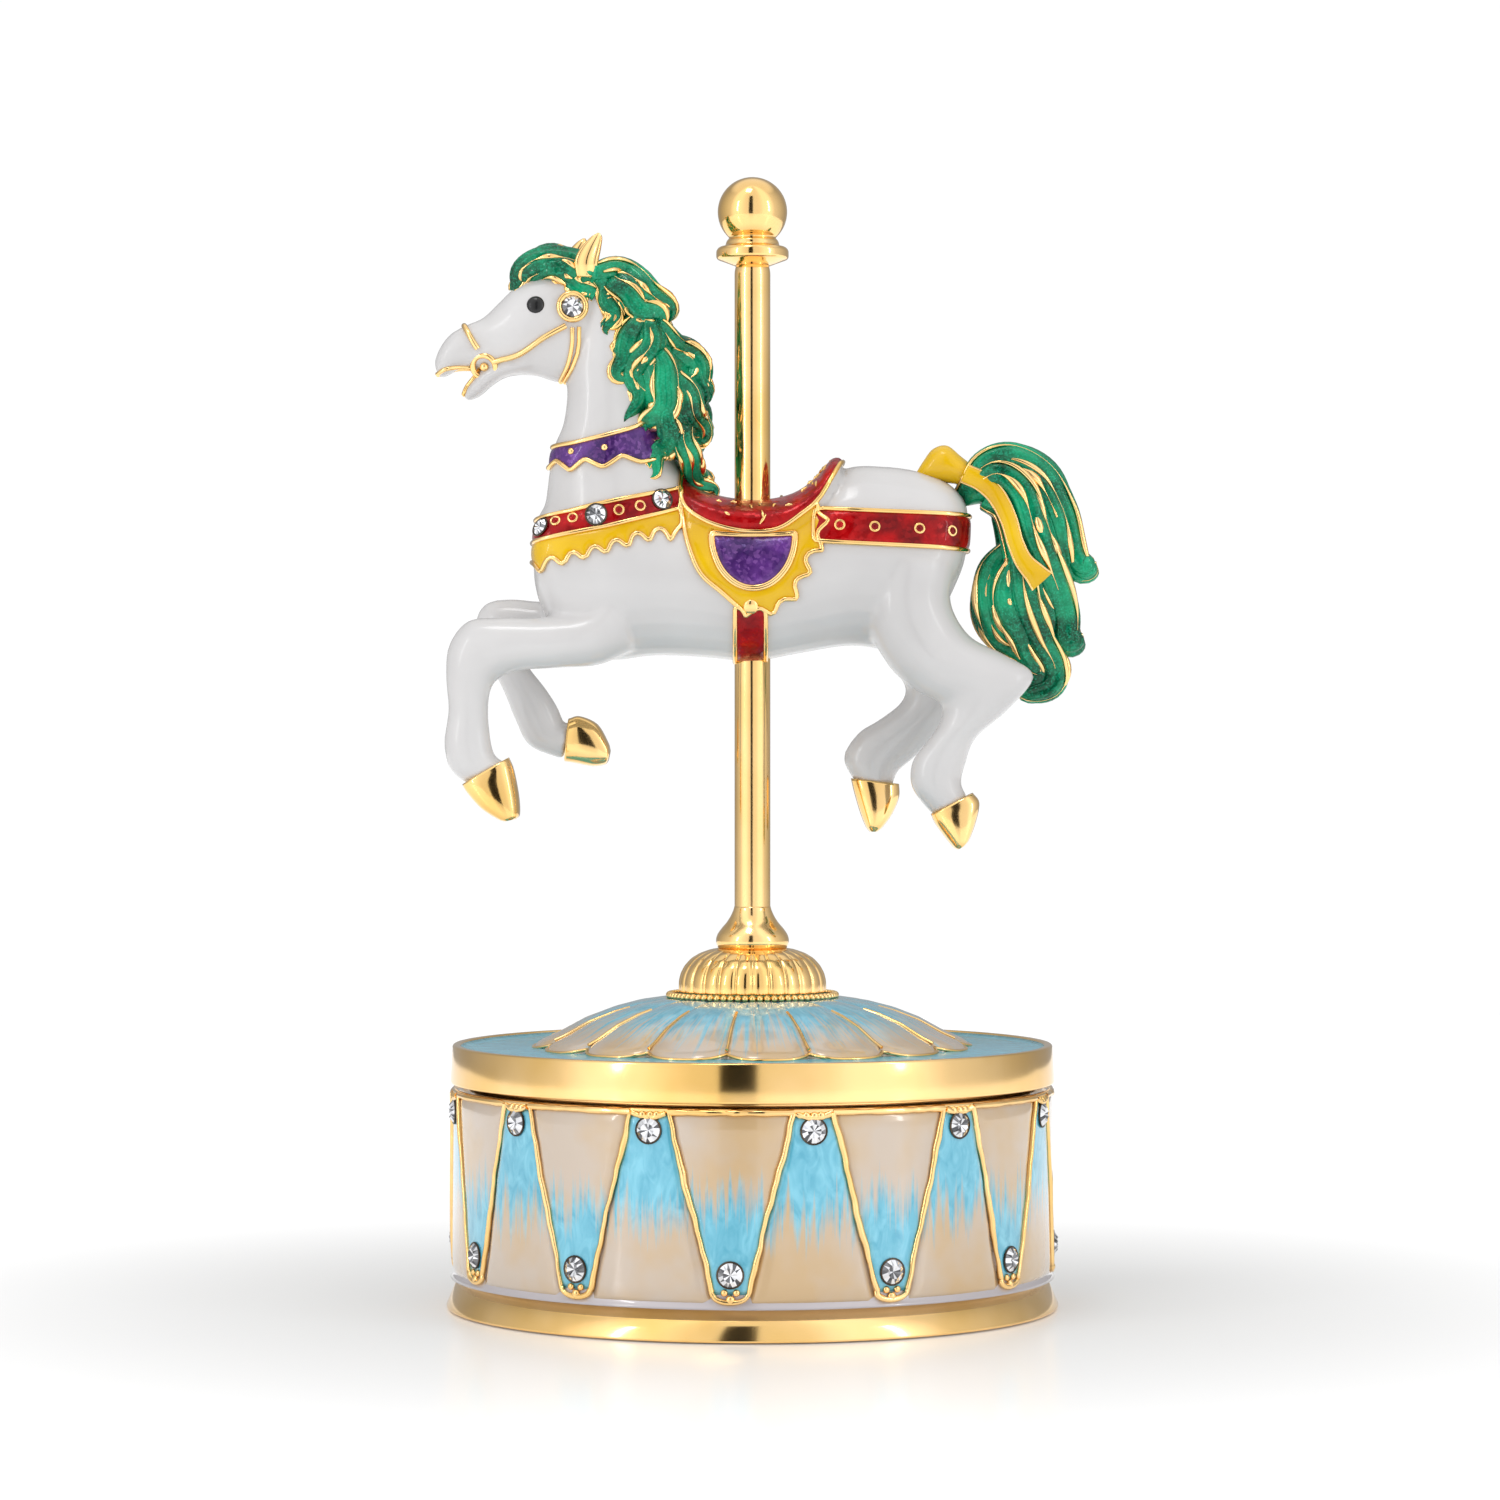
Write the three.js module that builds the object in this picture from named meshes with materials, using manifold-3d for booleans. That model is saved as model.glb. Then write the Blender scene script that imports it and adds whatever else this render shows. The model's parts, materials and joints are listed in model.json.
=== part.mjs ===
// Carousel music box: a drum with a winding movement, and a turntable that carries a horse on a pole.
// Millimetres. Z is the turntable's axis, z = 0 is the table, and the horse faces -X.
import * as THREE from 'three';
import { mergeVertices } from 'three/addons/utils/BufferGeometryUtils.js';
import Module from 'manifold-3d';

const wasm = await Module();
wasm.setup();

// Clearances
const gap = 0.3;                      // between pieces that touch
const runningGap = 1.0;               // between the drum and the turntable that turns on it
const shaftClearance = 0.35;          // round a turning shaft

// Drum
const wallRadius = 36.5;
const wallThickness = 1.5;
const footOverhang = 1.0;
const footHeight = 3.0;
const drumHeight = 27.0;
const feltThickness = 0.8;
const basePlateThickness = 1.5;
const lugHeight = 6;
const lugDepth = 5;
const screwRadius = 1.1;
const screwHeadRadius = 2.0;
const screwHeadHeight = 0.9;
const screwLength = 5;

// Turntable
const rimOverhang = 0.5;
const rimHeight = 4.2;
const rimWidth = 1.8;
const channelDepth = 0.9;
const domeRadius = 26.8;
const domeHeight = 5.6;
const domeTopRadius = 11.3;
const plateThickness = 1.3;
const skirtDepth = 4.0;
const skirtThickness = 1.0;
const bossDepth = 4.2;                // the boss under the dome that takes the pole and the shaft

// Pole and its fittings
const poleRadius = 2.2;
const poleLength = 93.5;
const poleSink = 3.4;                 // how far the pole goes into the turntable's boss
const beadRingRadius = 10.6;
const beadRadius = 0.7;
const collarRadius = 9.05;
const collarHeight = 5.9;
const collarFlutes = 16;
const collarSweep = 0.42 * Math.PI;   // how far the section climbs towards the top
const fluteDepth = 0.45;
const socketRadius = 4.45;
const socketHeight = 4.7;
const finialFlangeRadius = 4.45;
const finialNeckRadius = 3.3;
const ballRadius = 4.27;

// Horse
const horseRise = 52.2;               // middle of the trunk above the dome
const trappingThickness = 0.8;

// Movement
const keyOffset = 17;                 // from the turntable's axis to the winding arbor
const wellRadius = 12.5;
const wellDepth = 7.0;
const wellWall = 0.7;
const keyWidth = 15;
const keyThickness = 2.4;
const keyHeight = 4.6;
const arborRadius = 1.6;
const bedplateThickness = 2.0;
const springHousingRadius = 10.8;
const springHousingHeight = 7.6;
const housingWall = 0.8;
const springTurns = 3;
const springStrip = 0.5;
const cylinderRadius = 5.0;
const cylinderLength = 18;
const pinHeight = 0.4;
const tuneNotes = 18;
const noteMargin = 0.8;               // from the cylinder's ends to its first and last note
const pinTurn = 137.5;                // degrees round the cylinder from one note's pin to the next
const combThickness = 0.8;
const combLength = 11;
const gearThickness = 1.4;
const turntableShaftRadius = 1.5;
const flangeRadius = 6;
const flangeThickness = 1.2;
const trainShaftRadius = 0.8;
const governorShaftRadius = 0.6;
const arborTeeth = 20;
const turntableTeeth = 14;
const crownTeeth = 27;
const crownPinionTeeth = 9;
const cylinderTeeth = 12;
const governorPinionTeeth = 8;
const wormWheelTeeth = 12;
const governorModule = 0.75;
const wormWheelModule = 0.6;
const wormRadius = 1.8;
const wormThread = 0.5;
const flyRadius = 3.0;
const flyHeight = 3.2;

// Levels, from the table up
const footRadius = wallRadius + footOverhang;
const innerRadius = wallRadius - wallThickness;
const shellBottom = feltThickness;
const basePlateBottom = feltThickness + gap;
const basePlateTop = basePlateBottom + basePlateThickness;
const drumTop = drumHeight;
const rimBottom = drumTop + runningGap;
const rimTop = rimBottom + rimHeight;
const rimRadius = wallRadius + rimOverhang;
const domeTop = rimTop + domeHeight;
const horseHeight = domeTop + horseRise;
const poleBottom = domeTop - poleSink;
const poleTop = poleBottom + poleLength;
const bedplateBottom = basePlateTop + gap + wellDepth - basePlateThickness + wellWall + gap;
const bedplateTop = bedplateBottom + bedplateThickness;
const housingBottom = bedplateTop + gap;
const housingTop = housingBottom + springHousingHeight;

// Gears: pitch radius is half of teeth times module
const mainModule = 2 * keyOffset / (arborTeeth + turntableTeeth);
const crownModule = 0.9;
const crownRadius = crownTeeth * crownModule / 2;
const crownPinionRadius = crownPinionTeeth * crownModule / 2;
const cylinderGearRadius = cylinderTeeth * governorModule / 2;
const governorPinionRadius = governorPinionTeeth * governorModule / 2;
const wormWheelRadius = wormWheelTeeth * wormWheelModule / 2;
const backlash = 0.36;

const cylinderAxisZ = Math.max(
  housingTop + gap + 0.5 * crownModule - crownPinionRadius,
  bedplateTop + cylinderRadius + pinHeight + gap,
);
const crownPlateLevel = cylinderAxisZ + crownPinionRadius + 0.7 * crownModule + gap;
const crownToothBottom = cylinderAxisZ + crownPinionRadius - 0.5 * crownModule;
const crownTop = crownPlateLevel + gearThickness;
const mainGearBottom = Math.max(crownTop, cylinderAxisZ + cylinderRadius + pinHeight) + gap;
const mainGearTop = mainGearBottom + gearThickness;
const bridgeBottom = mainGearTop + gap;
const bridgeThickness = 1.6;
const governorAxisY = -(cylinderGearRadius + governorPinionRadius);
const wormAxisY = governorAxisY - wormWheelRadius - 0.7 * wormWheelModule - gap - wormRadius;

// Places along the cylinder's axis
const crownPinionX = keyOffset - crownRadius;
const frontBracketX = crownPinionX - 2.4;
const cylinderStartX = frontBracketX - 0.9;
const cylinderEndX = cylinderStartX - cylinderLength;
const cylinderGearX = cylinderEndX - 1.1;
const wormWheelX = cylinderGearX - 2.2;
const rearBracketX = wormWheelX - 2.2;

// Finishes
const finishes = {
  gold: { color: 0xd9a63a, roughness: 0.18, metalness: 1 },
  whiteEnamel: { color: 0xf1f3f6, roughness: 0.15, metalness: 0 },
  greenEnamel: { color: 0x0f7a3d, roughness: 0.25, metalness: 0.2 },
  yellowEnamel: { color: 0xf2c518, roughness: 0.2, metalness: 0 },
  redEnamel: { color: 0xc4151c, roughness: 0.15, metalness: 0 },
  purpleEnamel: { color: 0x9a4fb0, roughness: 0.2, metalness: 0 },
  creamEnamel: { color: 0xe6dcc8, roughness: 0.2, metalness: 0 },
  brass: { color: 0xb08d3e, roughness: 0.35, metalness: 1 },
  steel: { color: 0x9a9c9e, roughness: 0.4, metalness: 1 },
  castZinc: { color: 0x85888c, roughness: 0.55, metalness: 0.9 },
  felt: { color: 0x14301c, roughness: 0.95, metalness: 0 },
};

// A closed solid from a geometry, without the triangles that collapse on the axis of a turned piece
function toSolid(geometry) {
  const bare = geometry.clone();
  bare.deleteAttribute('normal');
  bare.deleteAttribute('uv');
  const merged = mergeVertices(bare, 1e-4);
  const corners = merged.index.array;
  const triangles = [];
  for (let i = 0; i < corners.length; i += 3) {
    const [a, b, c] = [corners[i], corners[i + 1], corners[i + 2]];
    if (a !== b && b !== c && c !== a) triangles.push(a, b, c);
  }
  return new wasm.Manifold(new wasm.Mesh({
    numProp: 3,
    vertProperties: Float32Array.from(merged.attributes.position.array),
    triVerts: Uint32Array.from(triangles),
  }));
}

function toMesh(name, solid, finish) {
  const mesh = solid.getMesh();
  const geometry = new THREE.BufferGeometry();
  geometry.setAttribute('position', new THREE.BufferAttribute(Float32Array.from(mesh.vertProperties), 3));
  geometry.setIndex(new THREE.BufferAttribute(Uint32Array.from(mesh.triVerts), 1));
  geometry.computeVertexNormals();
  const piece = new THREE.Mesh(geometry, new THREE.MeshStandardMaterial(finishes[finish]));
  piece.name = name;
  return piece;
}

function join(solids) {
  return solids.reduce((all, next) => all.add(next));
}

// A turned solid about Z. The profile lists [radius, z], up the outside and down the inside.
function turned(profile, sides = 24) {
  const points = profile.map(([r, z]) => new THREE.Vector2(r, z));
  const first = profile[0];
  const last = profile[profile.length - 1];
  if (first[0] > 0 || last[0] > 0) points.push(points[0].clone());
  const geometry = new THREE.LatheGeometry(points, sides);
  geometry.rotateX(Math.PI / 2);
  return toSolid(geometry);
}

function disc(radius, bottom, top, x = 0, y = 0, sides = 16) {
  return turned([[0, bottom], [radius, bottom], [radius, top], [0, top]], sides).translate([x, y, 0]);
}

function block(x0, x1, y0, y1, z0, z1) {
  const geometry = new THREE.BoxGeometry(x1 - x0, y1 - y0, z1 - z0);
  geometry.translate((x0 + x1) / 2, (y0 + y1) / 2, (z0 + z1) / 2);
  return toSolid(geometry);
}

// A flat outline in plan, extruded upward
function plate(outline, bottom, top) {
  const shape = new THREE.Shape(outline.map(([x, y]) => new THREE.Vector2(x, y)));
  const geometry = new THREE.ExtrudeGeometry(shape, { depth: top - bottom, bevelEnabled: false });
  geometry.translate(0, 0, bottom);
  return toSolid(geometry);
}

// An outline seen from the side, [x, z], extruded along Y from y0 to y1
function sideRegion(outline, y0 = -20, y1 = 20) {
  const shape = new THREE.Shape(outline.map(([x, z]) => new THREE.Vector2(x, z)));
  const geometry = new THREE.ExtrudeGeometry(shape, { depth: y1 - y0, bevelEnabled: false });
  geometry.rotateX(Math.PI / 2);
  geometry.translate(0, y1, horseHeight);
  return toSolid(geometry);
}

// A round bar along X at the height of the movement's shafts
function barAlongX(radius, x0, x1, y, z, sides = 12) {
  return disc(radius, 0, x1 - x0, 0, 0, sides).rotate([0, 90, 0]).translate([x0, y, z]);
}

// Rings of points joined into one closed skin with flat ends
function skin(rings) {
  const count = rings[0].length;
  const positions = rings.flat(2);
  const index = [];
  for (let k = 0; k + 1 < rings.length; k += 1) {
    for (let i = 0; i < count; i += 1) {
      const a = k * count + i;
      const b = k * count + (i + 1) % count;
      index.push(a, b, b + count, a, b + count, a + count);
    }
  }
  const last = (rings.length - 1) * count;
  for (let i = 1; i + 1 < count; i += 1) {
    index.push(0, i + 1, i);
    index.push(last, last + i, last + i + 1);
  }
  const geometry = new THREE.BufferGeometry();
  geometry.setAttribute('position', new THREE.Float32BufferAttribute(positions, 3));
  geometry.setIndex(index);
  if (signedVolume(positions, index) < 0) {
    for (let i = 0; i < index.length; i += 3) [index[i], index[i + 1]] = [index[i + 1], index[i]];
    geometry.setIndex(index);
  }
  return toSolid(geometry);
}

function signedVolume(positions, index) {
  const corner = (i) => new THREE.Vector3().fromArray(positions, 3 * i);
  let volume = 0;
  for (let i = 0; i < index.length; i += 3) {
    const [a, b, c] = [corner(index[i]), corner(index[i + 1]), corner(index[i + 2])];
    volume += a.dot(b.cross(c)) / 6;
  }
  return volume;
}

// A limb through oval stations. Each station gives the two edge points seen from the side,
// [x, z] and [x, z] from the horse's middle, then half the thickness and the sideways offset.
function limb(stations, grow = 0, sides = 10) {
  const ovals = stations.map(([ax, az, bx, bz, halfWidth, side]) => {
    const centre = new THREE.Vector2((ax + bx) / 2, (az + bz) / 2);
    const half = new THREE.Vector2((ax - bx) / 2, (az - bz) / 2);
    half.setLength(half.length() + grow);
    return { centre, half, halfWidth: halfWidth + grow, side };
  });
  const moveEnd = (end, next) => {
    const out = end.centre.clone().sub(next.centre).setLength(grow);
    end.centre = end.centre.clone().add(out);
  };
  if (grow > 0) {
    moveEnd(ovals[0], ovals[1]);
    moveEnd(ovals[ovals.length - 1], ovals[ovals.length - 2]);
  }
  return skin(ovals.map((oval) => {
    const ring = [];
    for (let i = 0; i < sides; i += 1) {
      const angle = 2 * Math.PI * i / sides;
      const across = Math.cos(angle);
      const x = oval.centre.x + oval.half.x * across;
      const z = oval.centre.y + oval.half.y * across;
      ring.push([x, oval.side + oval.halfWidth * Math.sin(angle), z + horseHeight]);
    }
    return ring;
  }));
}

// Horse

const trunk = [
  [-26.8, 4, -26.8, -1, 2, 0], [-26, 7.4, -26, -4, 5.6, 0], [-23.5, 9.2, -23.5, -8.3, 7.2, 0],
  [-18, 9.9, -18, -10.7, 8, 0], [-12, 9.6, -12, -10, 8.3, 0], [-6, 8.5, -6, -10.4, 8.4, 0],
  [0, 8, 0, -10.9, 8.5, 0], [6, 9.3, 6, -9.5, 8.4, 0], [11.5, 13, 12, -9, 8.2, 0],
  [16.5, 13, 17, -10, 8, 0], [20.5, 12.4, 21, -9.5, 7.6, 0], [24, 11, 23.5, -4.6, 6.4, 0],
  [26, 8.9, 25.7, 0.3, 4.2, 0], [26.5, 6.7, 26.4, 3.4, 1.6, 0],
];
const neck = [
  [-25, -2, -6.5, 1.5, 7, 0], [-26, 5, -6.5, 7, 6.9, 0], [-25, 12, -9.5, 14, 5.3, 0],
  [-23.3, 18, -12.3, 23.7, 4.1, 0], [-22.7, 24, -13.8, 32, 3.6, 0], [-21.4, 30, -18.2, 36.5, 2.6, 0],
];
const head = [
  [-18, 36, -18.2, 31.3, 1.6, 0], [-20.5, 37.9, -20.2, 26, 3.1, 0], [-23.6, 38.2, -23.4, 23.3, 3.6, 0],
  [-26.7, 37.2, -26.4, 24, 3.7, 0], [-29.2, 35.2, -29.1, 24.3, 3.5, 0], [-33, 31.3, -32.6, 24.8, 2.6, 0],
  [-37.3, 29.1, -36, 24.9, 2.4, 0], [-38.6, 27.2, -37.5, 24.1, 2, 0], [-39.1, 25.6, -38.4, 23.8, 1.1, 0],
];
const jaw = [
  [-28.6, 26.7, -27.3, 24.4, 2.6, 0], [-31, 26, -30.2, 24, 2.5, 0], [-33, 24.4, -32, 22.9, 2.1, 0],
  [-34.6, 23.2, -33.5, 21.6, 1.7, 0], [-35.6, 21.9, -35, 21, 1, 0],
];
const nearForeleg = [
  [-17.4, 0, -14.4, -9.6, 4.2, -3.2], [-25.3, -5.6, -23.2, -11.8, 3.5, -5.2],
  [-34.6, -6.1, -30.5, -12.9, 3, -5.4], [-36.9, -9, -31.7, -14.1, 2.8, -5.4],
  [-37.2, -12.7, -32.1, -16, 2.5, -5.4], [-37, -16.9, -32.1, -18.3, 2.3, -5.4],
  [-37.5, -20.8, -31.8, -20.8, 2.4, -5.4], [-36.9, -23.9, -31.3, -22.5, 2.5, -5.4],
  [-34.9, -25.9, -30, -23.3, 2.3, -5.4],
];
const farForeleg = [
  [-17.6, 0, -14.5, -9.4, 4.2, 3.2], [-25.7, -3.4, -23.9, -10, 3.4, 5.2],
  [-33.1, -3.7, -28.8, -10.1, 3, 5.4], [-34.3, -6.2, -28.2, -10.6, 2.8, 5.4],
  [-33.1, -10, -27.4, -12, 2.5, 5.4], [-30.9, -14.4, -25.7, -14.1, 2.3, 5.4],
  [-29.3, -18.3, -24.1, -16.6, 2.3, 5.4], [-27.6, -21.3, -23.3, -18.6, 2.4, 5.4],
  [-23.5, -23, -22.4, -18.1, 2.3, 5.4],
];
const nearHindLeg = [
  [14.1, 1.4, 24.9, 0.8, 5, -3.2], [13.9, -5.9, 24.2, -3.7, 4.9, -3.6], [16.5, -11.4, 26.5, -7.9, 4.5, -4.2],
  [19.8, -14.5, 30.8, -10.2, 3.8, -4.8], [22.8, -16.2, 34.3, -12.8, 3.1, -5.2],
  [22.8, -18.4, 31.1, -16.9, 2.7, -5.3], [21.1, -20.9, 27.2, -20.3, 2.4, -5.4],
  [19.4, -23.3, 25.9, -23.5, 2.4, -5.4], [19.4, -26.4, 25.4, -25.9, 2.5, -5.4],
  [21.8, -29.6, 26.2, -27.5, 2.3, -5.4],
];
const farHindLeg = [
  [14.3, 1.7, 25.1, 1.1, 5, 3.2], [14.3, -5.7, 24.4, -3.5, 4.9, 3.6], [16.3, -10.4, 25.9, -8.2, 4.4, 4.2],
  [18.8, -13.6, 27.6, -11.6, 3.7, 4.8], [18.5, -15.8, 26.7, -15.6, 3.1, 5.2],
  [15.8, -18, 22.6, -20.3, 2.7, 5.3], [13.1, -19.7, 19.8, -23, 2.5, 5.4],
  [11.3, -22.7, 18, -24.5, 2.5, 5.4], [12.5, -25.5, 17.4, -26.3, 2.3, 5.4],
];
const maneStations = [
  [-20.6, 36, -17.6, 38.7, 3.2, 0], [-18, 34, -14.1, 36.1, 4.2, 0], [-15.3, 30.8, -10.3, 32.3, 4.6, 0],
  [-16, 27, -8.9, 28, 4.8, 0], [-15.3, 22.7, -6.2, 23.7, 5.2, 0], [-14.1, 19.4, -6.1, 19.7, 5.7, 0],
  [-12, 16.3, -6.1, 16.3, 6, 0], [-9.4, 13.4, -6, 13.9, 5, 0], [-6.8, 11.7, -4.8, 12, 2.2, 0],
];
const forelockStations = [
  [-28.9, 34.7, -29.8, 35.7, 2, 0], [-27.5, 36.4, -28.3, 38.2, 2.8, 0], [-24.9, 36.9, -25.4, 39.1, 3.3, 0],
  [-21.8, 36.2, -21.9, 39.2, 3.9, 0], [-18.4, 35, -18, 38.7, 3.8, 0],
];
const tailStations = [
  [27, 13, 27, 8, 2, 0], [28.2, 14.4, 28.2, 8, 2.8, 0], [31, 15.4, 29, 7.9, 3.4, 0],
  [35.8, 13, 29.9, 6.5, 3.8, 0], [38.6, 8.3, 30.8, 4.2, 4, 0], [39.8, 3.4, 30.7, 2, 4.1, 0],
  [40, -1, 28.2, -0.3, 4, 0], [39.3, -5.2, 27.6, -4.8, 3.6, 0.6], [39.4, -8.9, 31, -8.5, 3, 1],
  [37.9, -12.2, 33, -11.2, 2.6, 1.2], [36.9, -14.9, 33.2, -14.7, 1.8, 1.2], [35.5, -16, 34, -16, 1, 1.2],
];
const bowLoop = [
  [20, 12.2, 20.6, 11, 1.2, 0], [21.4, 14.2, 22, 11, 2.6, 0], [23.6, 15.6, 23.6, 11, 3.2, 0],
  [26, 14.4, 25, 10.5, 2.6, 0],
];
const bowStreamer = [
  [24.8, 13, 24.4, 9.6, 2.4, 0], [27, 11.8, 26.2, 8.6, 3.8, 0], [30.2, 9, 28.3, 6.6, 4.6, 0],
  [32, 5, 29.9, 4, 4.7, 0], [33.4, 1.8, 31.3, 1.1, 4.6, 0], [36, -0.6, 34.3, -2, 3.6, 0],
];

// The white casting, or the same shape grown outward
function castHorse(grow = 0) {
  const legs = [nearForeleg, farForeleg, nearHindLeg, farHindLeg];
  return join([trunk, neck, head, jaw, ...legs].map((stations) => limb(stations, grow)));
}

const horseClearance = castHorse(gap);
const poleClearance = disc(poleRadius + gap, 0, poleTop + 10, 0, 0, 20);

// A trapping laid on the horse inside a region seen from the side
function trapping(stationLists, region, lift, thickness = trappingThickness) {
  const outer = join(stationLists.map((stations) => limb(stations, lift + thickness)));
  const inner = join(stationLists.map((stations) => limb(stations, lift)));
  return outer.subtract(inner).intersect(region).subtract(horseClearance).subtract(poleClearance);
}

function saddleRegion() {
  return [
    [-9, 16], [-8.8, 10.5], [-7.5, 7.6], [-4, 5.6], [0, 4.7], [3.6, 5.6],
    [6.5, 7.6], [8.6, 9.6], [11.3, 13], [11.3, 16],
  ];
}

function horsePieces() {
  const saddleLift = gap + trappingThickness + gap;
  const blanketRegion = [
    [-8.6, 16], [-8.4, 5], [-6.5, -0.6], [-1, -4.3], [1.6, -4.3], [6.2, -1.2], [8.4, 3.6], [8.4, 16],
  ];
  const collarRegion = [[-30, 5.4], [-18.5, 8.2], [-9, 9.7], [-9, 7.9], [-18.5, 5.4], [-30, 2.6]];
  const frillRegion = [
    [-30, 2.2], [-18.5, 5], [-9, 7.5], [-9, 4.6], [-10.6, 5.3], [-12.4, 3.4], [-16.1, 2.9], [-20.9, 1.7],
    [-23.4, 1], [-30, 0.2],
  ];
  const crupperRegion = [[8.8, 7.2], [18, 6.8], [30, 6.1], [30, 2.7], [18, 3.3], [8.8, 3.7]];
  const neckRegion = [
    [-30, 14.4], [-18.6, 16.3], [-14.4, 17.8], [-12.6, 19], [-9.8, 14.6], [-13.7, 13.3], [-18.1, 12.4],
    [-20.4, 13.5], [-22.1, 12.2], [-24, 13.6], [-30, 12.6],
  ];
  const girthRegion = [[-2, -4.7], [-2, -14], [1.5, -14], [1.5, -4.7]];
  const noseband = sideRegion([[-36.4, 32], [-35, 32], [-32.2, 22], [-33.6, 22]]);
  const cheekStrap = sideRegion([[-33.4, 25.6], [-32.6, 24.4], [-23, 31.2], [-20, 41], [-21.4, 41], [-23.8, 32.2]]);
  const headTrim = noseband.add(cheekStrap);
  const hairClearance = limb(maneStations, gap).add(limb(forelockStations, gap));
  const maneSolid = limb(maneStations).add(limb(forelockStations));
  const tailSolid = limb(tailStations);
  const bow = limb(bowLoop).add(limb(bowStreamer));
  const neckBand = trapping([neck], sideRegion(neckRegion), gap);
  const cutters = horseClearance.add(poleClearance);
  const discRegion = [];
  for (let i = 0; i <= 10; i += 1) {
    const angle = Math.PI + Math.PI * i / 10;
    discRegion.push([4.9 * Math.cos(angle), 4 + 6.2 * Math.sin(angle)]);
  }
  return [
    toMesh('horse_body', castHorse().subtract(poleClearance), 'whiteEnamel'),
    toMesh('mane', maneSolid.subtract(cutters).subtract(limb(neck, 2 * gap + trappingThickness)), 'greenEnamel'),
    toMesh('tail', tailSolid.subtract(cutters).subtract(join([bowLoop, bowStreamer].map((s) => limb(s, gap)))),
      'greenEnamel'),
    toMesh('tail_bow', bow.subtract(cutters), 'yellowEnamel'),
    toMesh('saddle_blanket', trapping([trunk], sideRegion(blanketRegion), gap), 'yellowEnamel'),
    toMesh('saddle', trapping([trunk], sideRegion(saddleRegion()), saddleLift), 'redEnamel'),
    toMesh('saddle_flap_near', trapping([trunk], sideRegion(discRegion, -20, -gap), saddleLift, 0.6),
      'purpleEnamel'),
    toMesh('saddle_flap_far', trapping([trunk], sideRegion(discRegion, gap, 20), saddleLift, 0.6),
      'purpleEnamel'),
    toMesh('girth_strap_near', trapping([trunk], sideRegion(girthRegion, -20, -1.6), gap), 'redEnamel'),
    toMesh('girth_strap_far', trapping([trunk], sideRegion(girthRegion, 1.6, 20), gap), 'redEnamel'),
    toMesh('breast_collar', trapping([trunk, neck], sideRegion(collarRegion), gap), 'redEnamel'),
    toMesh('collar_fringe', trapping([trunk, neck], sideRegion(frillRegion), gap, 0.6), 'yellowEnamel'),
    toMesh('crupper_belt', trapping([trunk], sideRegion(crupperRegion), gap), 'redEnamel'),
    toMesh('neck_band', neckBand, 'purpleEnamel'),
    toMesh('bridle', trapping([head], headTrim, gap, 0.6).subtract(hairClearance), 'gold'),
  ];
}

function ear(name, side) {
  const base = [-20, 37.4, -17.6, 36.6, 1.2, side * 2.2];
  const middle = [-20, 39, -17.8, 38.4, 1, side * 2.6];
  const tip = [-19.2, 40.8, -18.7, 40.7, 0.2, side * 2.8];
  const growth = limb(forelockStations, gap).add(limb(maneStations, gap));
  return toMesh(name, limb([base, middle, tip], 0, 8).subtract(growth).subtract(horseClearance), 'gold');
}

function hoof(name, stations) {
  return toMesh(name, limb(stations, 0, 10).subtract(horseClearance), 'gold');
}

function hooves() {
  return [
    hoof('hoof_front_near', [
      [-34.7, -26.3, -29.8, -23.7, 2.4, -5.4], [-34, -28, -28.7, -25.6, 2.8, -5.4],
      [-31, -29.9, -28.2, -29, 2.7, -5.4],
    ]),
    hoof('hoof_front_far', [
      [-23.1, -23.1, -22, -18.2, 2.4, 5.4], [-20.3, -23.5, -20.1, -17.7, 2.8, 5.4],
      [-18.1, -23.4, -18, -21.4, 2.7, 5.4],
    ]),
    hoof('hoof_hind_near', [
      [22, -30, 26.6, -28, 2.4, -5.4], [23, -32, 27.6, -29.6, 2.8, -5.4],
      [24.4, -33.7, 26, -32.6, 2.7, -5.4],
    ]),
    hoof('hoof_hind_far', [
      [12.4, -25.9, 17.4, -26.8, 2.4, 5.4], [13, -28.6, 18, -28, 2.8, 5.4],
      [14, -31.6, 16.2, -31.2, 2.7, 5.4],
    ]),
  ];
}

// Turntable, pole and fittings

function turntable() {
  const channelTop = rimTop - channelDepth;
  const rimInner = rimRadius - rimWidth;
  const under = rimBottom + plateThickness;
  const skirtOuter = innerRadius - 2 * gap;
  const bossRadius = domeTopRadius - 2;
  const bossBottom = domeTop - bossDepth;
  const domeWidth = domeRadius - domeTopRadius;
  const dome = [[1, 0], [0.78, 0.25], [0.6, 0.53], [0.4, 0.75], [0.2, 0.91], [0, 1]]
    .map(([out, up]) => [domeTopRadius + domeWidth * out, rimTop + domeHeight * up]);
  const profile = [
    [bossRadius, bossBottom], [bossRadius, domeTop - 2.6], [domeRadius - 6.5, rimTop + 1],
    [skirtOuter - skirtThickness, under], [skirtOuter - skirtThickness, rimBottom - skirtDepth],
    [skirtOuter, rimBottom - skirtDepth], [skirtOuter, rimBottom], [rimRadius, rimBottom],
    [rimRadius, rimTop], [rimInner, rimTop], [rimInner, channelTop], [domeRadius, channelTop],
    ...dome, [poleRadius + gap, domeTop], [poleRadius + gap, bossBottom],
  ];
  return toMesh('turntable', turned(profile, 40), 'creamEnamel');
}

function beadedRing() {
  const section = [];
  for (let i = 0; i < 6; i += 1) {
    const angle = 2 * Math.PI * i / 6;
    const z = domeTop + gap + beadRadius + beadRadius * Math.sin(angle);
    section.push([beadRingRadius + beadRadius * Math.cos(angle), z]);
  }
  return toMesh('beaded_ring', turned(section, 30), 'gold');
}

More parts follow.
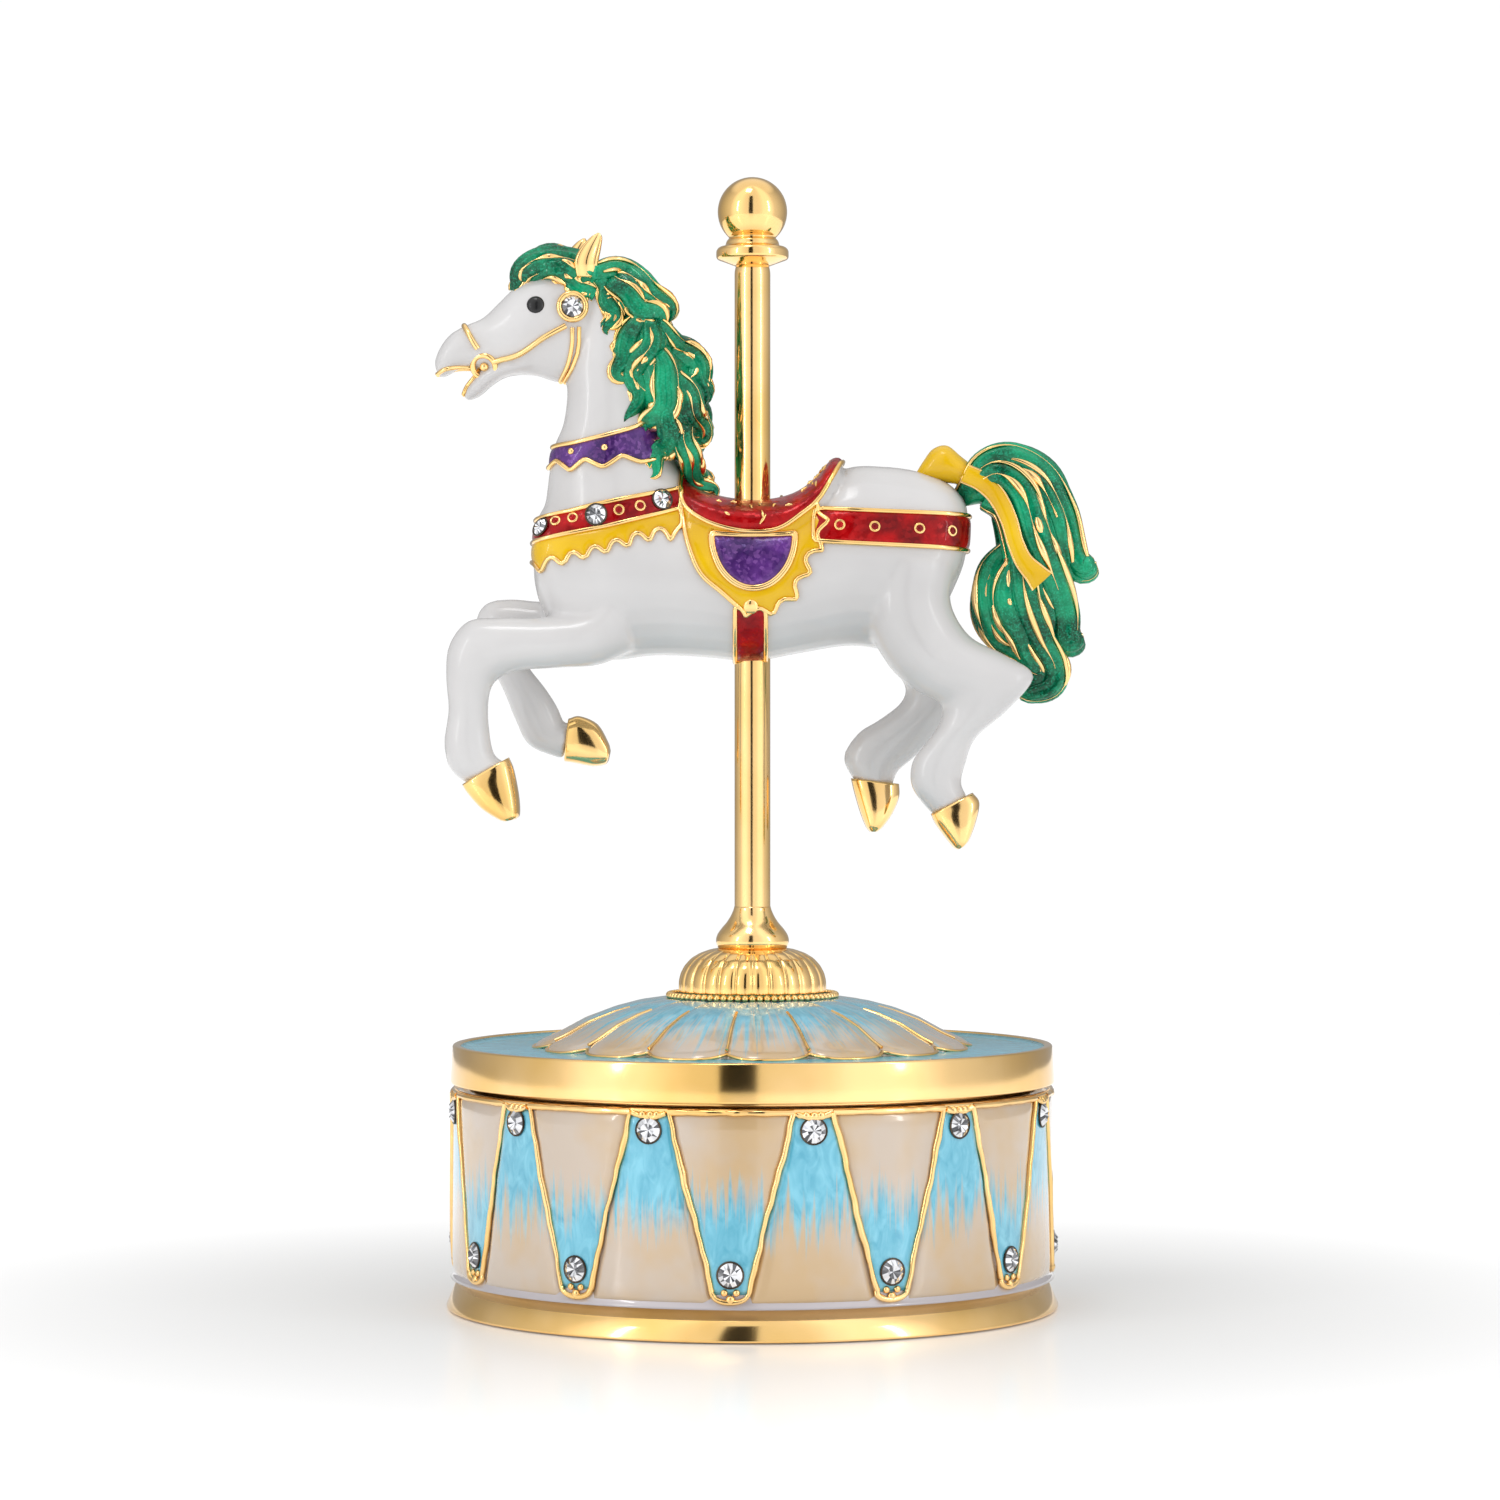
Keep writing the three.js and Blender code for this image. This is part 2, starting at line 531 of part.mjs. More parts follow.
// A domed collar with upright flutes: every second point round it is pulled in
function flutedCollar() {
  const bottom = domeTop + gap;
  const rings = [];
  const levels = 4;
  const points = collarFlutes * 2;
  for (let k = 0; k <= levels; k += 1) {
    const angle = (k / levels) * collarSweep;
    const radius = collarRadius * (0.25 + 0.75 * Math.cos(angle));
    const height = collarHeight * Math.sin(angle) / Math.sin(collarSweep);
    const ring = [];
    for (let i = 0; i < points; i += 1) {
      const turn = 2 * Math.PI * i / points;
      const r = radius - (i % 2) * fluteDepth * (radius / collarRadius);
      ring.push([r * Math.cos(turn), r * Math.sin(turn), bottom + height]);
    }
    rings.push(ring);
  }
  const bore = disc(poleRadius + gap, bottom - 1, bottom + collarHeight + 1, 0, 0, 20);
  return toMesh('fluted_collar', skin(rings).subtract(bore), 'gold');
}

function poleSocket() {
  const bottom = domeTop + gap + collarHeight + gap;
  const profile = [
    [poleRadius + gap, bottom], [socketRadius, bottom], [socketRadius, bottom + 1],
    [socketRadius - 1, bottom + 2], [poleRadius + gap + 0.5, bottom + 3.4],
    [poleRadius + gap + 0.3, bottom + socketHeight], [poleRadius + gap, bottom + socketHeight],
  ];
  return toMesh('pole_socket', turned(profile, 20), 'gold');
}

function pole() {
  return toMesh('pole', disc(poleRadius, poleBottom, poleTop, 0, 0, 20), 'gold');
}

function finial() {
  const bottom = poleTop + gap;
  const centre = bottom + 6.1;
  const profile = [
    [0, bottom], [finialFlangeRadius, bottom], [finialFlangeRadius, bottom + 1.4],
    [finialNeckRadius, bottom + 1.7], [finialNeckRadius - 0.4, bottom + 2.6],
  ];
  for (let i = 0; i < 6; i += 1) {
    const angle = -0.9 + (Math.PI / 2 + 0.9) * i / 6;
    profile.push([ballRadius * Math.cos(angle), centre + ballRadius * Math.sin(angle)]);
  }
  profile.push([0, centre + ballRadius]);
  return toMesh('finial', turned(profile, 20), 'gold');
}

// Drum

const lugAngles = [90, 210, 330];
const lugScrewRadius = innerRadius - lugDepth / 2;
const legPlaces = [[-20, 0], [9, 19], [9, -19]];
const legRadius = 2.6;

function aroundAxis(angle, radius) {
  const turn = THREE.MathUtils.degToRad(angle);
  return [radius * Math.cos(turn), radius * Math.sin(turn)];
}

const lugScrewPlaces = lugAngles.map((angle) => aroundAxis(angle, lugScrewRadius));

function drumShell() {
  const footTop = shellBottom + footHeight;
  const profile = [
    [innerRadius, shellBottom], [footRadius - 0.6, shellBottom], [footRadius, shellBottom + 0.7],
    [footRadius, footTop - 0.7], [wallRadius, footTop + 1], [wallRadius, drumTop], [innerRadius, drumTop],
  ];
  let shell = turned(profile, 40);
  for (const angle of lugAngles) {
    const bottom = basePlateTop + gap;
    const lug = block(innerRadius - lugDepth, innerRadius + 0.6, -2.8, 2.8, bottom, bottom + lugHeight)
      .subtract(disc(screwRadius + gap, bottom - 1, bottom + lugHeight - 1.5, lugScrewRadius, 0, 10));
    shell = shell.add(lug.rotate([0, 0, angle]));
  }
  return toMesh('drum_shell', shell, 'creamEnamel');
}

// Countersunk screws driven up from under the base plate
function undersideScrews(name, places) {
  const headTop = basePlateBottom + screwHeadHeight;
  const tip = headTop + screwLength;
  const profile = [
    [0, basePlateBottom], [screwHeadRadius, basePlateBottom], [screwHeadRadius, headTop],
    [screwRadius, headTop], [screwRadius, tip], [0, tip],
  ];
  return places.map(([x, y], i) => toMesh(`${name}_${i + 1}`, turned(profile, 8).translate([x, y, 0]), 'steel'));
}

function basePlate() {
  let solid = disc(innerRadius - gap, basePlateBottom, basePlateTop, 0, 0, 40);
  solid = solid.subtract(disc(wellRadius, basePlateBottom - 1, basePlateTop + 1, keyOffset, 0, 24));
  for (const [x, y] of [...lugScrewPlaces, ...legPlaces]) {
    solid = solid.subtract(disc(screwRadius + gap, basePlateBottom - 1, basePlateTop + 1, x, y, 8));
    const seat = basePlateBottom + screwHeadHeight + gap / 2;
    solid = solid.subtract(disc(screwHeadRadius + gap, basePlateBottom - 1, seat, x, y, 8));
  }
  return toMesh('base_plate', solid, 'steel');
}

function feltPad() {
  const hole = disc(wellRadius, -1, feltThickness + 1, keyOffset, 0, 24);
  return toMesh('felt_pad', disc(footRadius - 1.2, 0, feltThickness - gap, 0, 0, 40).subtract(hole), 'felt');
}

function keyWell() {
  const bottom = basePlateTop + gap;
  const top = bedplateBottom - gap;
  const outer = wellRadius + wellWall;
  const profile = [
    [wellRadius, bottom], [outer + 1.6, bottom], [outer + 1.6, bottom + wellWall], [outer, bottom + wellWall],
    [outer, top], [arborRadius + shaftClearance, top], [arborRadius + shaftClearance, top - wellWall],
    [wellRadius, top - wellWall],
  ];
  return toMesh('key_well', turned(profile, 24).translate([keyOffset, 0, 0]), 'steel');
}

// Movement

function bedplate() {
  const outline = [
    [-24, -16], [-24, 16], [3, 23], [14, 23], [29, 13], [29, -13], [14, -23], [3, -23],
  ].reverse();
  let solid = plate(outline, bedplateBottom, bedplateTop);
  for (const [x, y] of legPlaces) {
    solid = solid.add(disc(legRadius, basePlateTop + gap, bedplateBottom + 0.5, x, y, 12));
    const bore = disc(screwRadius + gap, basePlateTop, basePlateTop + screwLength + 0.4, x, y, 10);
    solid = solid.subtract(bore);
  }
  const arborBore = disc(arborRadius + shaftClearance, bedplateBottom - 1, bedplateTop + 1, keyOffset, 0, 16);
  return toMesh('movement_bedplate', solid.subtract(arborBore), 'castZinc');
}

function springHousing() {
  const profile = [
    [springHousingRadius - housingWall, housingBottom], [springHousingRadius, housingBottom],
    [springHousingRadius, housingTop], [arborRadius + shaftClearance, housingTop],
    [arborRadius + shaftClearance, housingTop - housingWall],
    [springHousingRadius - housingWall, housingTop - housingWall],
  ];
  return toMesh('spring_housing', turned(profile, 24).translate([keyOffset, 0, 0]), 'steel');
}

function mainspring() {
  const steps = 14 * springTurns;
  const inner = arborRadius + shaftClearance + 1.2;
  const outer = springHousingRadius - housingWall - gap - springStrip;
  const outside = [];
  const inside = [];
  for (let i = 0; i <= steps; i += 1) {
    const turn = 2 * Math.PI * springTurns * i / steps;
    const radius = inner + (outer - inner) * i / steps;
    outside.push([(radius + springStrip) * Math.cos(turn), (radius + springStrip) * Math.sin(turn)]);
    inside.push([radius * Math.cos(turn), radius * Math.sin(turn)]);
  }
  const strip = plate([...outside, ...inside.reverse()], housingBottom + gap, housingTop - housingWall - gap);
  return toMesh('mainspring', strip.translate([keyOffset, 0, 0]), 'steel');
}

// Teeth with straight flanks; toothShift turns the gear by that share of a tooth
function gearOutline(teeth, module, toothShift = 0) {
  const pitch = teeth * module / 2;
  const half = Math.PI / (2 * teeth) - backlash / (2 * pitch);
  const tip = pitch + 0.7 * module;
  const root = pitch - 1.05 * module;
  const outline = [];
  for (let i = 0; i < teeth; i += 1) {
    const centre = 2 * Math.PI * (i + toothShift) / teeth;
    for (const [r, a] of [[root, -1.25], [tip, -0.45], [tip, 0.45], [root, 1.25]]) {
      outline.push([r * Math.cos(centre + a * half), r * Math.sin(centre + a * half)]);
    }
  }
  return outline;
}

function arborPieces() {
  const gripTop = basePlateTop + gap + wellDepth - basePlateThickness - wellWall - 0.6;
  const gripBottom = gripTop - keyHeight;
  const grip = block(-keyWidth / 2, keyWidth / 2, -keyThickness / 2, keyThickness / 2, gripBottom, gripTop - 1)
    .add(disc(3, gripBottom + 0.8, gripTop, 0, 0, 16))
    .subtract(disc(arborRadius + gap, gripTop - 2.4, gripTop + 1, 0, 0, 16));
  const arborBottom = gripTop - 2.1;
  const arbor = disc(arborRadius, arborBottom, mainGearTop, 0, 0, 16);
  const bore = disc(arborRadius + gap, housingTop, mainGearTop + 1, 0, 0, 16);
  let crown = disc(crownRadius + 0.9, crownPlateLevel, crownTop, 0, 0, 36);
  for (let i = 0; i < crownTeeth; i += 1) {
    const half = (Math.PI * crownRadius / crownTeeth - backlash) / 2;
    const tooth = block(crownRadius - 0.7, crownRadius + 0.7, -half * 0.8, half * 0.8,
      crownToothBottom, crownPlateLevel + 0.4);
    crown = crown.add(tooth.rotate([0, 0, 360 * i / crownTeeth + 180]));
  }
  const spur = plate(gearOutline(arborTeeth, mainModule), mainGearBottom, mainGearTop);
  return [
    toMesh('winding_key', grip.translate([keyOffset, 0, 0]), 'brass'),
    toMesh('winding_arbor', arbor.translate([keyOffset, 0, 0]), 'steel'),
    toMesh('crown_wheel', crown.subtract(bore).translate([keyOffset, 0, 0]), 'brass'),
    toMesh('arbor_gear', spur.subtract(bore).translate([keyOffset, 0, 0]), 'brass'),
  ];
}

function turntableDrive() {
  const bottom = mainGearBottom;
  const flangeTop = domeTop - bossDepth - gap;
  const shaftProfile = [
    [0, bottom], [turntableShaftRadius, bottom], [turntableShaftRadius, flangeTop - flangeThickness],
    [flangeRadius, flangeTop - flangeThickness], [flangeRadius, flangeTop], [0, flangeTop],
  ];
  const gear = plate(gearOutline(turntableTeeth, mainModule, 0.5), mainGearBottom, mainGearTop)
    .subtract(disc(turntableShaftRadius + gap, mainGearBottom - 1, mainGearTop + 1, 0, 0, 16));
  return [
    toMesh('turntable_shaft', turned(shaftProfile, 16), 'steel'),
    toMesh('turntable_gear', gear, 'brass'),
  ];
}

function shaftBridge() {
  const postY = 19;
  const top = bridgeBottom + bridgeThickness;
  const strap = block(-4, 5, -postY - 2, postY + 2, bridgeBottom, top);
  const posts = [-postY, postY].map((y) => block(0.5, 4.5, y - 2, y + 2, bedplateTop + gap, bridgeBottom + 0.5));
  const bore = disc(turntableShaftRadius + shaftClearance, bridgeBottom - 1, top + 1, 0, 0, 16);
  return toMesh('shaft_bridge', join([strap, ...posts]).subtract(bore), 'steel');
}

function shaftBracket(name, x, holes, y0, y1) {
  const top = cylinderAxisZ + 2.6;
  let solid = block(x - 0.5, x + 0.5, y0, y1, bedplateTop + gap, top);
  for (const [y, radius] of holes) {
    solid = solid.subtract(barAlongX(radius + shaftClearance, x - 2, x + 2, y, cylinderAxisZ));
  }
  return toMesh(name, solid, 'steel');
}

function spurAlongX(teeth, module, x, y, shift) {
  const outline = gearOutline(teeth, module, shift);
  return plate(outline, -gearThickness / 2, gearThickness / 2)
    .rotate([0, 90, 0]).translate([x, y, cylinderAxisZ]);
}

function cylinderPieces() {
  const bodyBore = barAlongX(trainShaftRadius + gap, cylinderEndX - 1, cylinderStartX + 1, 0, cylinderAxisZ);
  let body = barAlongX(cylinderRadius, cylinderEndX, cylinderStartX, 0, cylinderAxisZ, 24);
  const pitch = (cylinderLength - 2 * noteMargin) / (tuneNotes - 1);
  for (let i = 0; i < tuneNotes; i += 1) {
    const x = cylinderEndX + noteMargin + pitch * i;
    const pin = block(-0.15, 0.15, -0.15, 0.15, cylinderRadius - 1, cylinderRadius + pinHeight);
    body = body.add(pin.rotate([pinTurn * i, 0, 0]).translate([x, 0, cylinderAxisZ]));
  }
  const pinion = spurAlongX(crownPinionTeeth, crownModule, crownPinionX, 0, 0);
  const shaft = barAlongX(trainShaftRadius, rearBracketX - 1, crownPinionX + 1.2, 0, cylinderAxisZ).add(pinion);
  const shaftBore = barAlongX(trainShaftRadius + gap, rearBracketX - 2, crownPinionX + 4, 0, cylinderAxisZ);
  const gear = spurAlongX(cylinderTeeth, governorModule, cylinderGearX, 0, 0);
  return [
    toMesh('pinned_cylinder', body.subtract(bodyBore), 'brass'),
    toMesh('cylinder_shaft', shaft, 'steel'),
    toMesh('cylinder_gear', gear.subtract(shaftBore), 'brass'),
  ];
}

function comb() {
  const pitch = (cylinderLength - 2 * noteMargin) / (tuneNotes - 1);
  const tipY = cylinderRadius + pinHeight + gap;
  const rootY = tipY + combLength * 0.55;
  const endY = tipY + combLength;
  const left = cylinderEndX + noteMargin - pitch / 2;
  const outline = [[left, endY]];
  for (let i = 0; i < tuneNotes; i += 1) {
    const x0 = left + pitch * i;
    outline.push([x0, rootY], [x0, tipY], [x0 + pitch * 0.6, tipY], [x0 + pitch * 0.6, rootY]);
  }
  outline.push([left + pitch * tuneNotes, rootY], [left + pitch * tuneNotes, endY]);
  let solid = plate(outline, cylinderAxisZ - combThickness / 2, cylinderAxisZ + combThickness / 2);
  for (const [x, y] of combScrewPlaces()) {
    solid = solid.subtract(disc(screwRadius + gap, 0, drumTop, x, y, 10));
  }
  return toMesh('comb', solid, 'steel');
}

function combScrewPlaces() {
  const y = cylinderRadius + pinHeight + gap + combLength * 0.8;
  return [[cylinderEndX + 4, y], [cylinderStartX - 4, y]];
}

function combSupport() {
  const tipY = cylinderRadius + pinHeight + gap;
  const top = cylinderAxisZ - combThickness / 2 - gap;
  let solid = block(cylinderEndX, cylinderStartX, tipY + combLength * 0.6, tipY + combLength, bedplateTop + gap, top);
  for (const [x, y] of combScrewPlaces()) {
    solid = solid.subtract(disc(screwRadius + gap, top - 3, top + 1, x, y, 10));
  }
  return toMesh('comb_support', solid, 'castZinc');
}

function combScrews() {
  const seat = cylinderAxisZ + combThickness / 2 + gap;
  return combScrewPlaces().map(([x, y], i) => {
    const profile = [
      [0, seat - 3.4], [screwRadius, seat - 3.4], [screwRadius, seat], [screwHeadRadius, seat],
      [screwHeadRadius, seat + screwHeadHeight], [0, seat + screwHeadHeight],
    ];
    return toMesh(`comb_screw_${i + 1}`, turned(profile, 8).translate([x, y, 0]), 'steel');
  });
}

function governorPieces() {
  const start = rearBracketX - 1;
  const end = cylinderGearX + gearThickness / 2 + 0.8;
  const pinion = spurAlongX(governorPinionTeeth, governorModule, cylinderGearX, governorAxisY, 0.5);
  const shaft = barAlongX(governorShaftRadius, start, end, governorAxisY, cylinderAxisZ, 10).add(pinion);
  const bore = barAlongX(governorShaftRadius + gap, start - 1, end + 1, governorAxisY, cylinderAxisZ, 10);
  const wheel = spurAlongX(wormWheelTeeth, wormWheelModule, wormWheelX, governorAxisY, 0);
  return [
    toMesh('governor_shaft', shaft, 'steel'),
    toMesh('worm_wheel', wheel.subtract(bore), 'brass'),
  ];
}

// A single-start right-hand worm: each ring of points has its thread turned a little further
function worm() {
  const lead = 2 * Math.PI * wormWheelRadius / wormWheelTeeth;
  const points = 8;
  const perTurn = 6;
  const turns = 3;
  const bottom = cylinderAxisZ - turns * lead / 2;
  const rings = [];
  for (let k = 0; k <= perTurn * turns; k += 1) {
    const ring = [];
    for (let i = 0; i < points; i += 1) {
      const angle = 2 * Math.PI * i / points;
      const crest = (1 + Math.cos(angle - 2 * Math.PI * k / perTurn)) / 2;
      const r = wormRadius - wormThread * (1 - crest);
      ring.push([r * Math.cos(angle), r * Math.sin(angle), bottom + lead * k / perTurn]);
    }
    rings.push(ring);
  }
  const shaftBottom = bedplateTop + gap + 1;
  const shaftTop = cylinderAxisZ + turns * lead / 2 + flyHeight + 1.2;
  const stem = disc(governorShaftRadius, shaftBottom, shaftTop, 0, 0, 10);
  return toMesh('worm', skin(rings).add(stem).translate([wormWheelX, wormAxisY, 0]), 'steel');
}

function fly() {
  const lead = 2 * Math.PI * wormWheelRadius / wormWheelTeeth;
  const bottom = cylinderAxisZ + 1.5 * lead + gap;
  const solid = block(-flyRadius, flyRadius, -0.25, 0.25, bottom, bottom + flyHeight)
    .add(disc(governorShaftRadius + gap + 0.5, bottom, bottom + 1.5, 0, 0, 10))
    .subtract(disc(governorShaftRadius + gap, bottom - 1, bottom + flyHeight + 1, 0, 0, 10));
  return toMesh('fly', solid.translate([wormWheelX, wormAxisY, 0]), 'brass');
}

const musicBox = new THREE.Group();
musicBox.add(
  drumShell(), basePlate(), feltPad(), ...undersideScrews('base_screw', lugScrewPlaces), keyWell(),
  bedplate(), ...undersideScrews('movement_screw', legPlaces), springHousing(), mainspring(),
  comb(), combSupport(), ...combScrews(),
  shaftBridge(),
  shaftBracket('cylinder_bracket', frontBracketX, [[0, trainShaftRadius]], -3, 3),
  shaftBracket('governor_bracket', rearBracketX, [[0, trainShaftRadius], [governorAxisY, governorShaftRadius]],
    governorAxisY - 3, 3),
  ...arborPieces(), ...cylinderPieces(), ...governorPieces(), worm(), fly(),
  turntable(), ...turntableDrive(), beadedRing(), flutedCollar(), poleSocket(), pole(), finial(),
  ...horsePieces(), ear('ear_near', -1), ear('ear_far', 1), ...hooves(),
);

export default musicBox;
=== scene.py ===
import json
import math
import bpy
import bmesh
import numpy as np
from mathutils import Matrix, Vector
from mathutils.bvhtree import BVHTree


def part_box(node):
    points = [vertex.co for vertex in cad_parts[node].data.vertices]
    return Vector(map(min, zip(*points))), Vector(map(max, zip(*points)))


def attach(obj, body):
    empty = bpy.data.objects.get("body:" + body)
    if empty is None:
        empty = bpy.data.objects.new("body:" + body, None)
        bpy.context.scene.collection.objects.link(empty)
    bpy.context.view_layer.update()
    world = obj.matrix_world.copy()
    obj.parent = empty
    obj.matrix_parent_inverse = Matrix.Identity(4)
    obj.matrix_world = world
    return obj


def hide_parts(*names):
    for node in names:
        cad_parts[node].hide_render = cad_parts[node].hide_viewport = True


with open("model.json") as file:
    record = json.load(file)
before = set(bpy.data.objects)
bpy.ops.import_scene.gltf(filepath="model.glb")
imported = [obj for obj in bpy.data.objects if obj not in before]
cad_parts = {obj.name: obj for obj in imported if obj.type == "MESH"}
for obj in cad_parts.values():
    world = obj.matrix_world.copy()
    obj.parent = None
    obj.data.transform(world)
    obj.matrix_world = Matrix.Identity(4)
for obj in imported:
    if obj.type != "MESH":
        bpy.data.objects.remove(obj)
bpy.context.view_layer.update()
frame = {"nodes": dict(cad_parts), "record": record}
mm = 0.001


def newGroup(name, inputs, outputs):
    group = bpy.data.node_groups.new(name, "ShaderNodeTree")
    for label, kind, value in inputs:
        socket = group.interface.new_socket(name=label, in_out="INPUT", socket_type=kind)
        socket.default_value = value
    for label, kind in outputs:
        group.interface.new_socket(name=label, in_out="OUTPUT", socket_type=kind)
    groupIn = group.nodes.new("NodeGroupInput")
    groupOut = group.nodes.new("NodeGroupOutput")
    return group, groupIn, groupOut


def addNode(tree, kind, **settings):
    node = tree.nodes.new(kind)
    for key, value in settings.items():
        setattr(node, key, value)
    return node


def mathNode(tree, operation, a, b=None, clamp=False):
    node = addNode(tree, "ShaderNodeMath", operation=operation, use_clamp=clamp)
    for slot, value in enumerate((a, b)):
        if value is None:
            continue
        if hasattr(value, "is_output"):
            tree.links.new(value, node.inputs[slot])
        else:
            node.inputs[slot].default_value = value
    return node.outputs[0]


# metal or pigment flakes in clear enamel: a random tilt and a random brightness for each cell
def buildGlitter():
    group, gin, gout = newGroup(
        "flakeGlitter",
        [("Scale", "NodeSocketFloat", 2500.0), ("Tilt", "NodeSocketFloat", 0.3),
         ("Bright", "NodeSocketFloat", 0.5)],
        [("Mask", "NodeSocketFloat"), ("Normal", "NodeSocketVector")],
    )
    links = group.links
    coord = addNode(group, "ShaderNodeTexCoord")
    cells = addNode(group, "ShaderNodeTexVoronoi")
    links.new(coord.outputs["Object"], cells.inputs["Vector"])
    links.new(gin.outputs["Scale"], cells.inputs["Scale"])
    split = addNode(group, "ShaderNodeSeparateColor")
    links.new(cells.outputs["Color"], split.inputs["Color"])
    bright = mathNode(group, "POWER", split.outputs["Red"], 3.0)
    links.new(mathNode(group, "MULTIPLY", bright, gin.outputs["Bright"]), gout.inputs["Mask"])
    centred = addNode(group, "ShaderNodeVectorMath", operation="SUBTRACT")
    centred.inputs[1].default_value = (0.5, 0.5, 0.5)
    links.new(cells.outputs["Color"], centred.inputs[0])
    tilted = addNode(group, "ShaderNodeVectorMath", operation="SCALE")
    links.new(centred.outputs[0], tilted.inputs[0])
    links.new(gin.outputs["Tilt"], tilted.inputs["Scale"])
    geometry = addNode(group, "ShaderNodeNewGeometry")
    total = addNode(group, "ShaderNodeVectorMath", operation="ADD")
    links.new(geometry.outputs["Normal"], total.inputs[0])
    links.new(tilted.outputs[0], total.inputs[1])
    unit = addNode(group, "ShaderNodeVectorMath", operation="NORMALIZE")
    links.new(total.outputs[0], unit.inputs[0])
    links.new(unit.outputs[0], gout.inputs["Normal"])
    return group


# slow colour drift and the faint ripple of a hand-laid glaze
def buildGlaze():
    group, gin, gout = newGroup(
        "glazeDrift",
        [("Scale", "NodeSocketFloat", 120.0), ("Ripple", "NodeSocketFloat", 0.1),
         ("Depth", "NodeSocketFloat", 0.0002)],
        [("Drift", "NodeSocketFloat"), ("Normal", "NodeSocketVector")],
    )
    links = group.links
    coord = addNode(group, "ShaderNodeTexCoord")
    noise = addNode(group, "ShaderNodeTexNoise")
    noise.inputs["Detail"].default_value = 3.0
    links.new(coord.outputs["Object"], noise.inputs["Vector"])
    links.new(gin.outputs["Scale"], noise.inputs["Scale"])
    links.new(noise.outputs["Fac"], gout.inputs["Drift"])
    bump = addNode(group, "ShaderNodeBump")
    links.new(gin.outputs["Ripple"], bump.inputs["Strength"])
    links.new(gin.outputs["Depth"], bump.inputs["Distance"])
    links.new(noise.outputs["Fac"], bump.inputs["Height"])
    links.new(bump.outputs["Normal"], gout.inputs["Normal"])
    return group


glitterGroup = buildGlitter()
glazeGroup = buildGlaze()


def newMaterial(name):
    material = bpy.data.materials.new(name)
    material.use_nodes = True
    tree = material.node_tree
    shader = tree.nodes["Principled BSDF"]
    return material, tree, shader


def useGroup(tree, group, **values):
    node = addNode(tree, "ShaderNodeGroup", node_tree=group)
    for key, value in values.items():
        node.inputs[key].default_value = value
    return node


def colourRamp(tree, source, stops):
    ramp = addNode(tree, "ShaderNodeValToRGB")
    while len(ramp.color_ramp.elements) < len(stops):
        ramp.color_ramp.elements.new(0.5)
    for element, (place, colour) in zip(ramp.color_ramp.elements, stops):
        element.position = place
        element.color = (*colour, 1.0)
    tree.links.new(source, ramp.inputs["Fac"])
    return ramp.outputs["Color"]


def rampNode(tree, source, low, high, toLow, toHigh):
    node = addNode(tree, "ShaderNodeMapRange", interpolation_type="SMOOTHSTEP")
    tree.links.new(source, node.inputs["Value"])
    for key, value in (("From Min", low), ("From Max", high), ("To Min", toLow), ("To Max", toHigh)):
        node.inputs[key].default_value = value
    return node.outputs["Result"]


goldLook = {"dark": (0.86, 0.54, 0.17), "light": (0.99, 0.67, 0.30), "rough": 0.11, "scale": 70.0}


def makeGold(name, look):
    material, tree, shader = newMaterial(name)
    glaze = useGroup(tree, glazeGroup, Scale=look["scale"], Ripple=0.12, Depth=0.0003)
    colour = colourRamp(tree, glaze.outputs["Drift"], [(0.3, look["dark"]), (0.6, look["light"])])
    tree.links.new(colour, shader.inputs["Base Color"])
    tree.links.new(glaze.outputs["Normal"], shader.inputs["Normal"])
    rough = mathNode(tree, "MULTIPLY_ADD", glaze.outputs["Drift"], 0.12)
    rough.node.inputs[2].default_value = look["rough"] - 0.05
    tree.links.new(rough, shader.inputs["Roughness"])
    shader.inputs["Metallic"].default_value = 1.0
    return material


def makeEnamel(name, look):
    material, tree, shader = newMaterial(name)
    glaze = useGroup(tree, glazeGroup, Scale=look.get("scale", 110.0), Ripple=0.08, Depth=0.0003)
    colour = colourRamp(tree, glaze.outputs["Drift"], [(0.35, look["dark"]), (0.65, look["light"])])
    flakes = look.get("flakes", 0.0)
    if flakes > 0:
        glitter = useGroup(tree, glitterGroup, Scale=look["flakeScale"], Tilt=look["tilt"], Bright=1.0)
        mix = addNode(tree, "ShaderNodeMix", data_type="RGBA")
        tree.links.new(mathNode(tree, "MULTIPLY", glitter.outputs["Mask"], flakes), mix.inputs["Factor"])
        tree.links.new(colour, mix.inputs["A"])
        mix.inputs["B"].default_value = (*look["spark"], 1.0)
        colour = mix.outputs["Result"]
        tree.links.new(glitter.outputs["Normal"], shader.inputs["Normal"])
        shader.inputs["Metallic"].default_value = look["metal"]
    else:
        tree.links.new(glaze.outputs["Normal"], shader.inputs["Normal"])
    tree.links.new(colour, shader.inputs["Base Color"])
    shader.inputs["Roughness"].default_value = look["rough"]
    shader.inputs["Specular IOR Level"].default_value = look.get("specular", 0.3)
    shader.inputs["Coat Weight"].default_value = look.get("coat", 1.0)
    shader.inputs["Coat Roughness"].default_value = look.get("coatRough", 0.04)
    return material


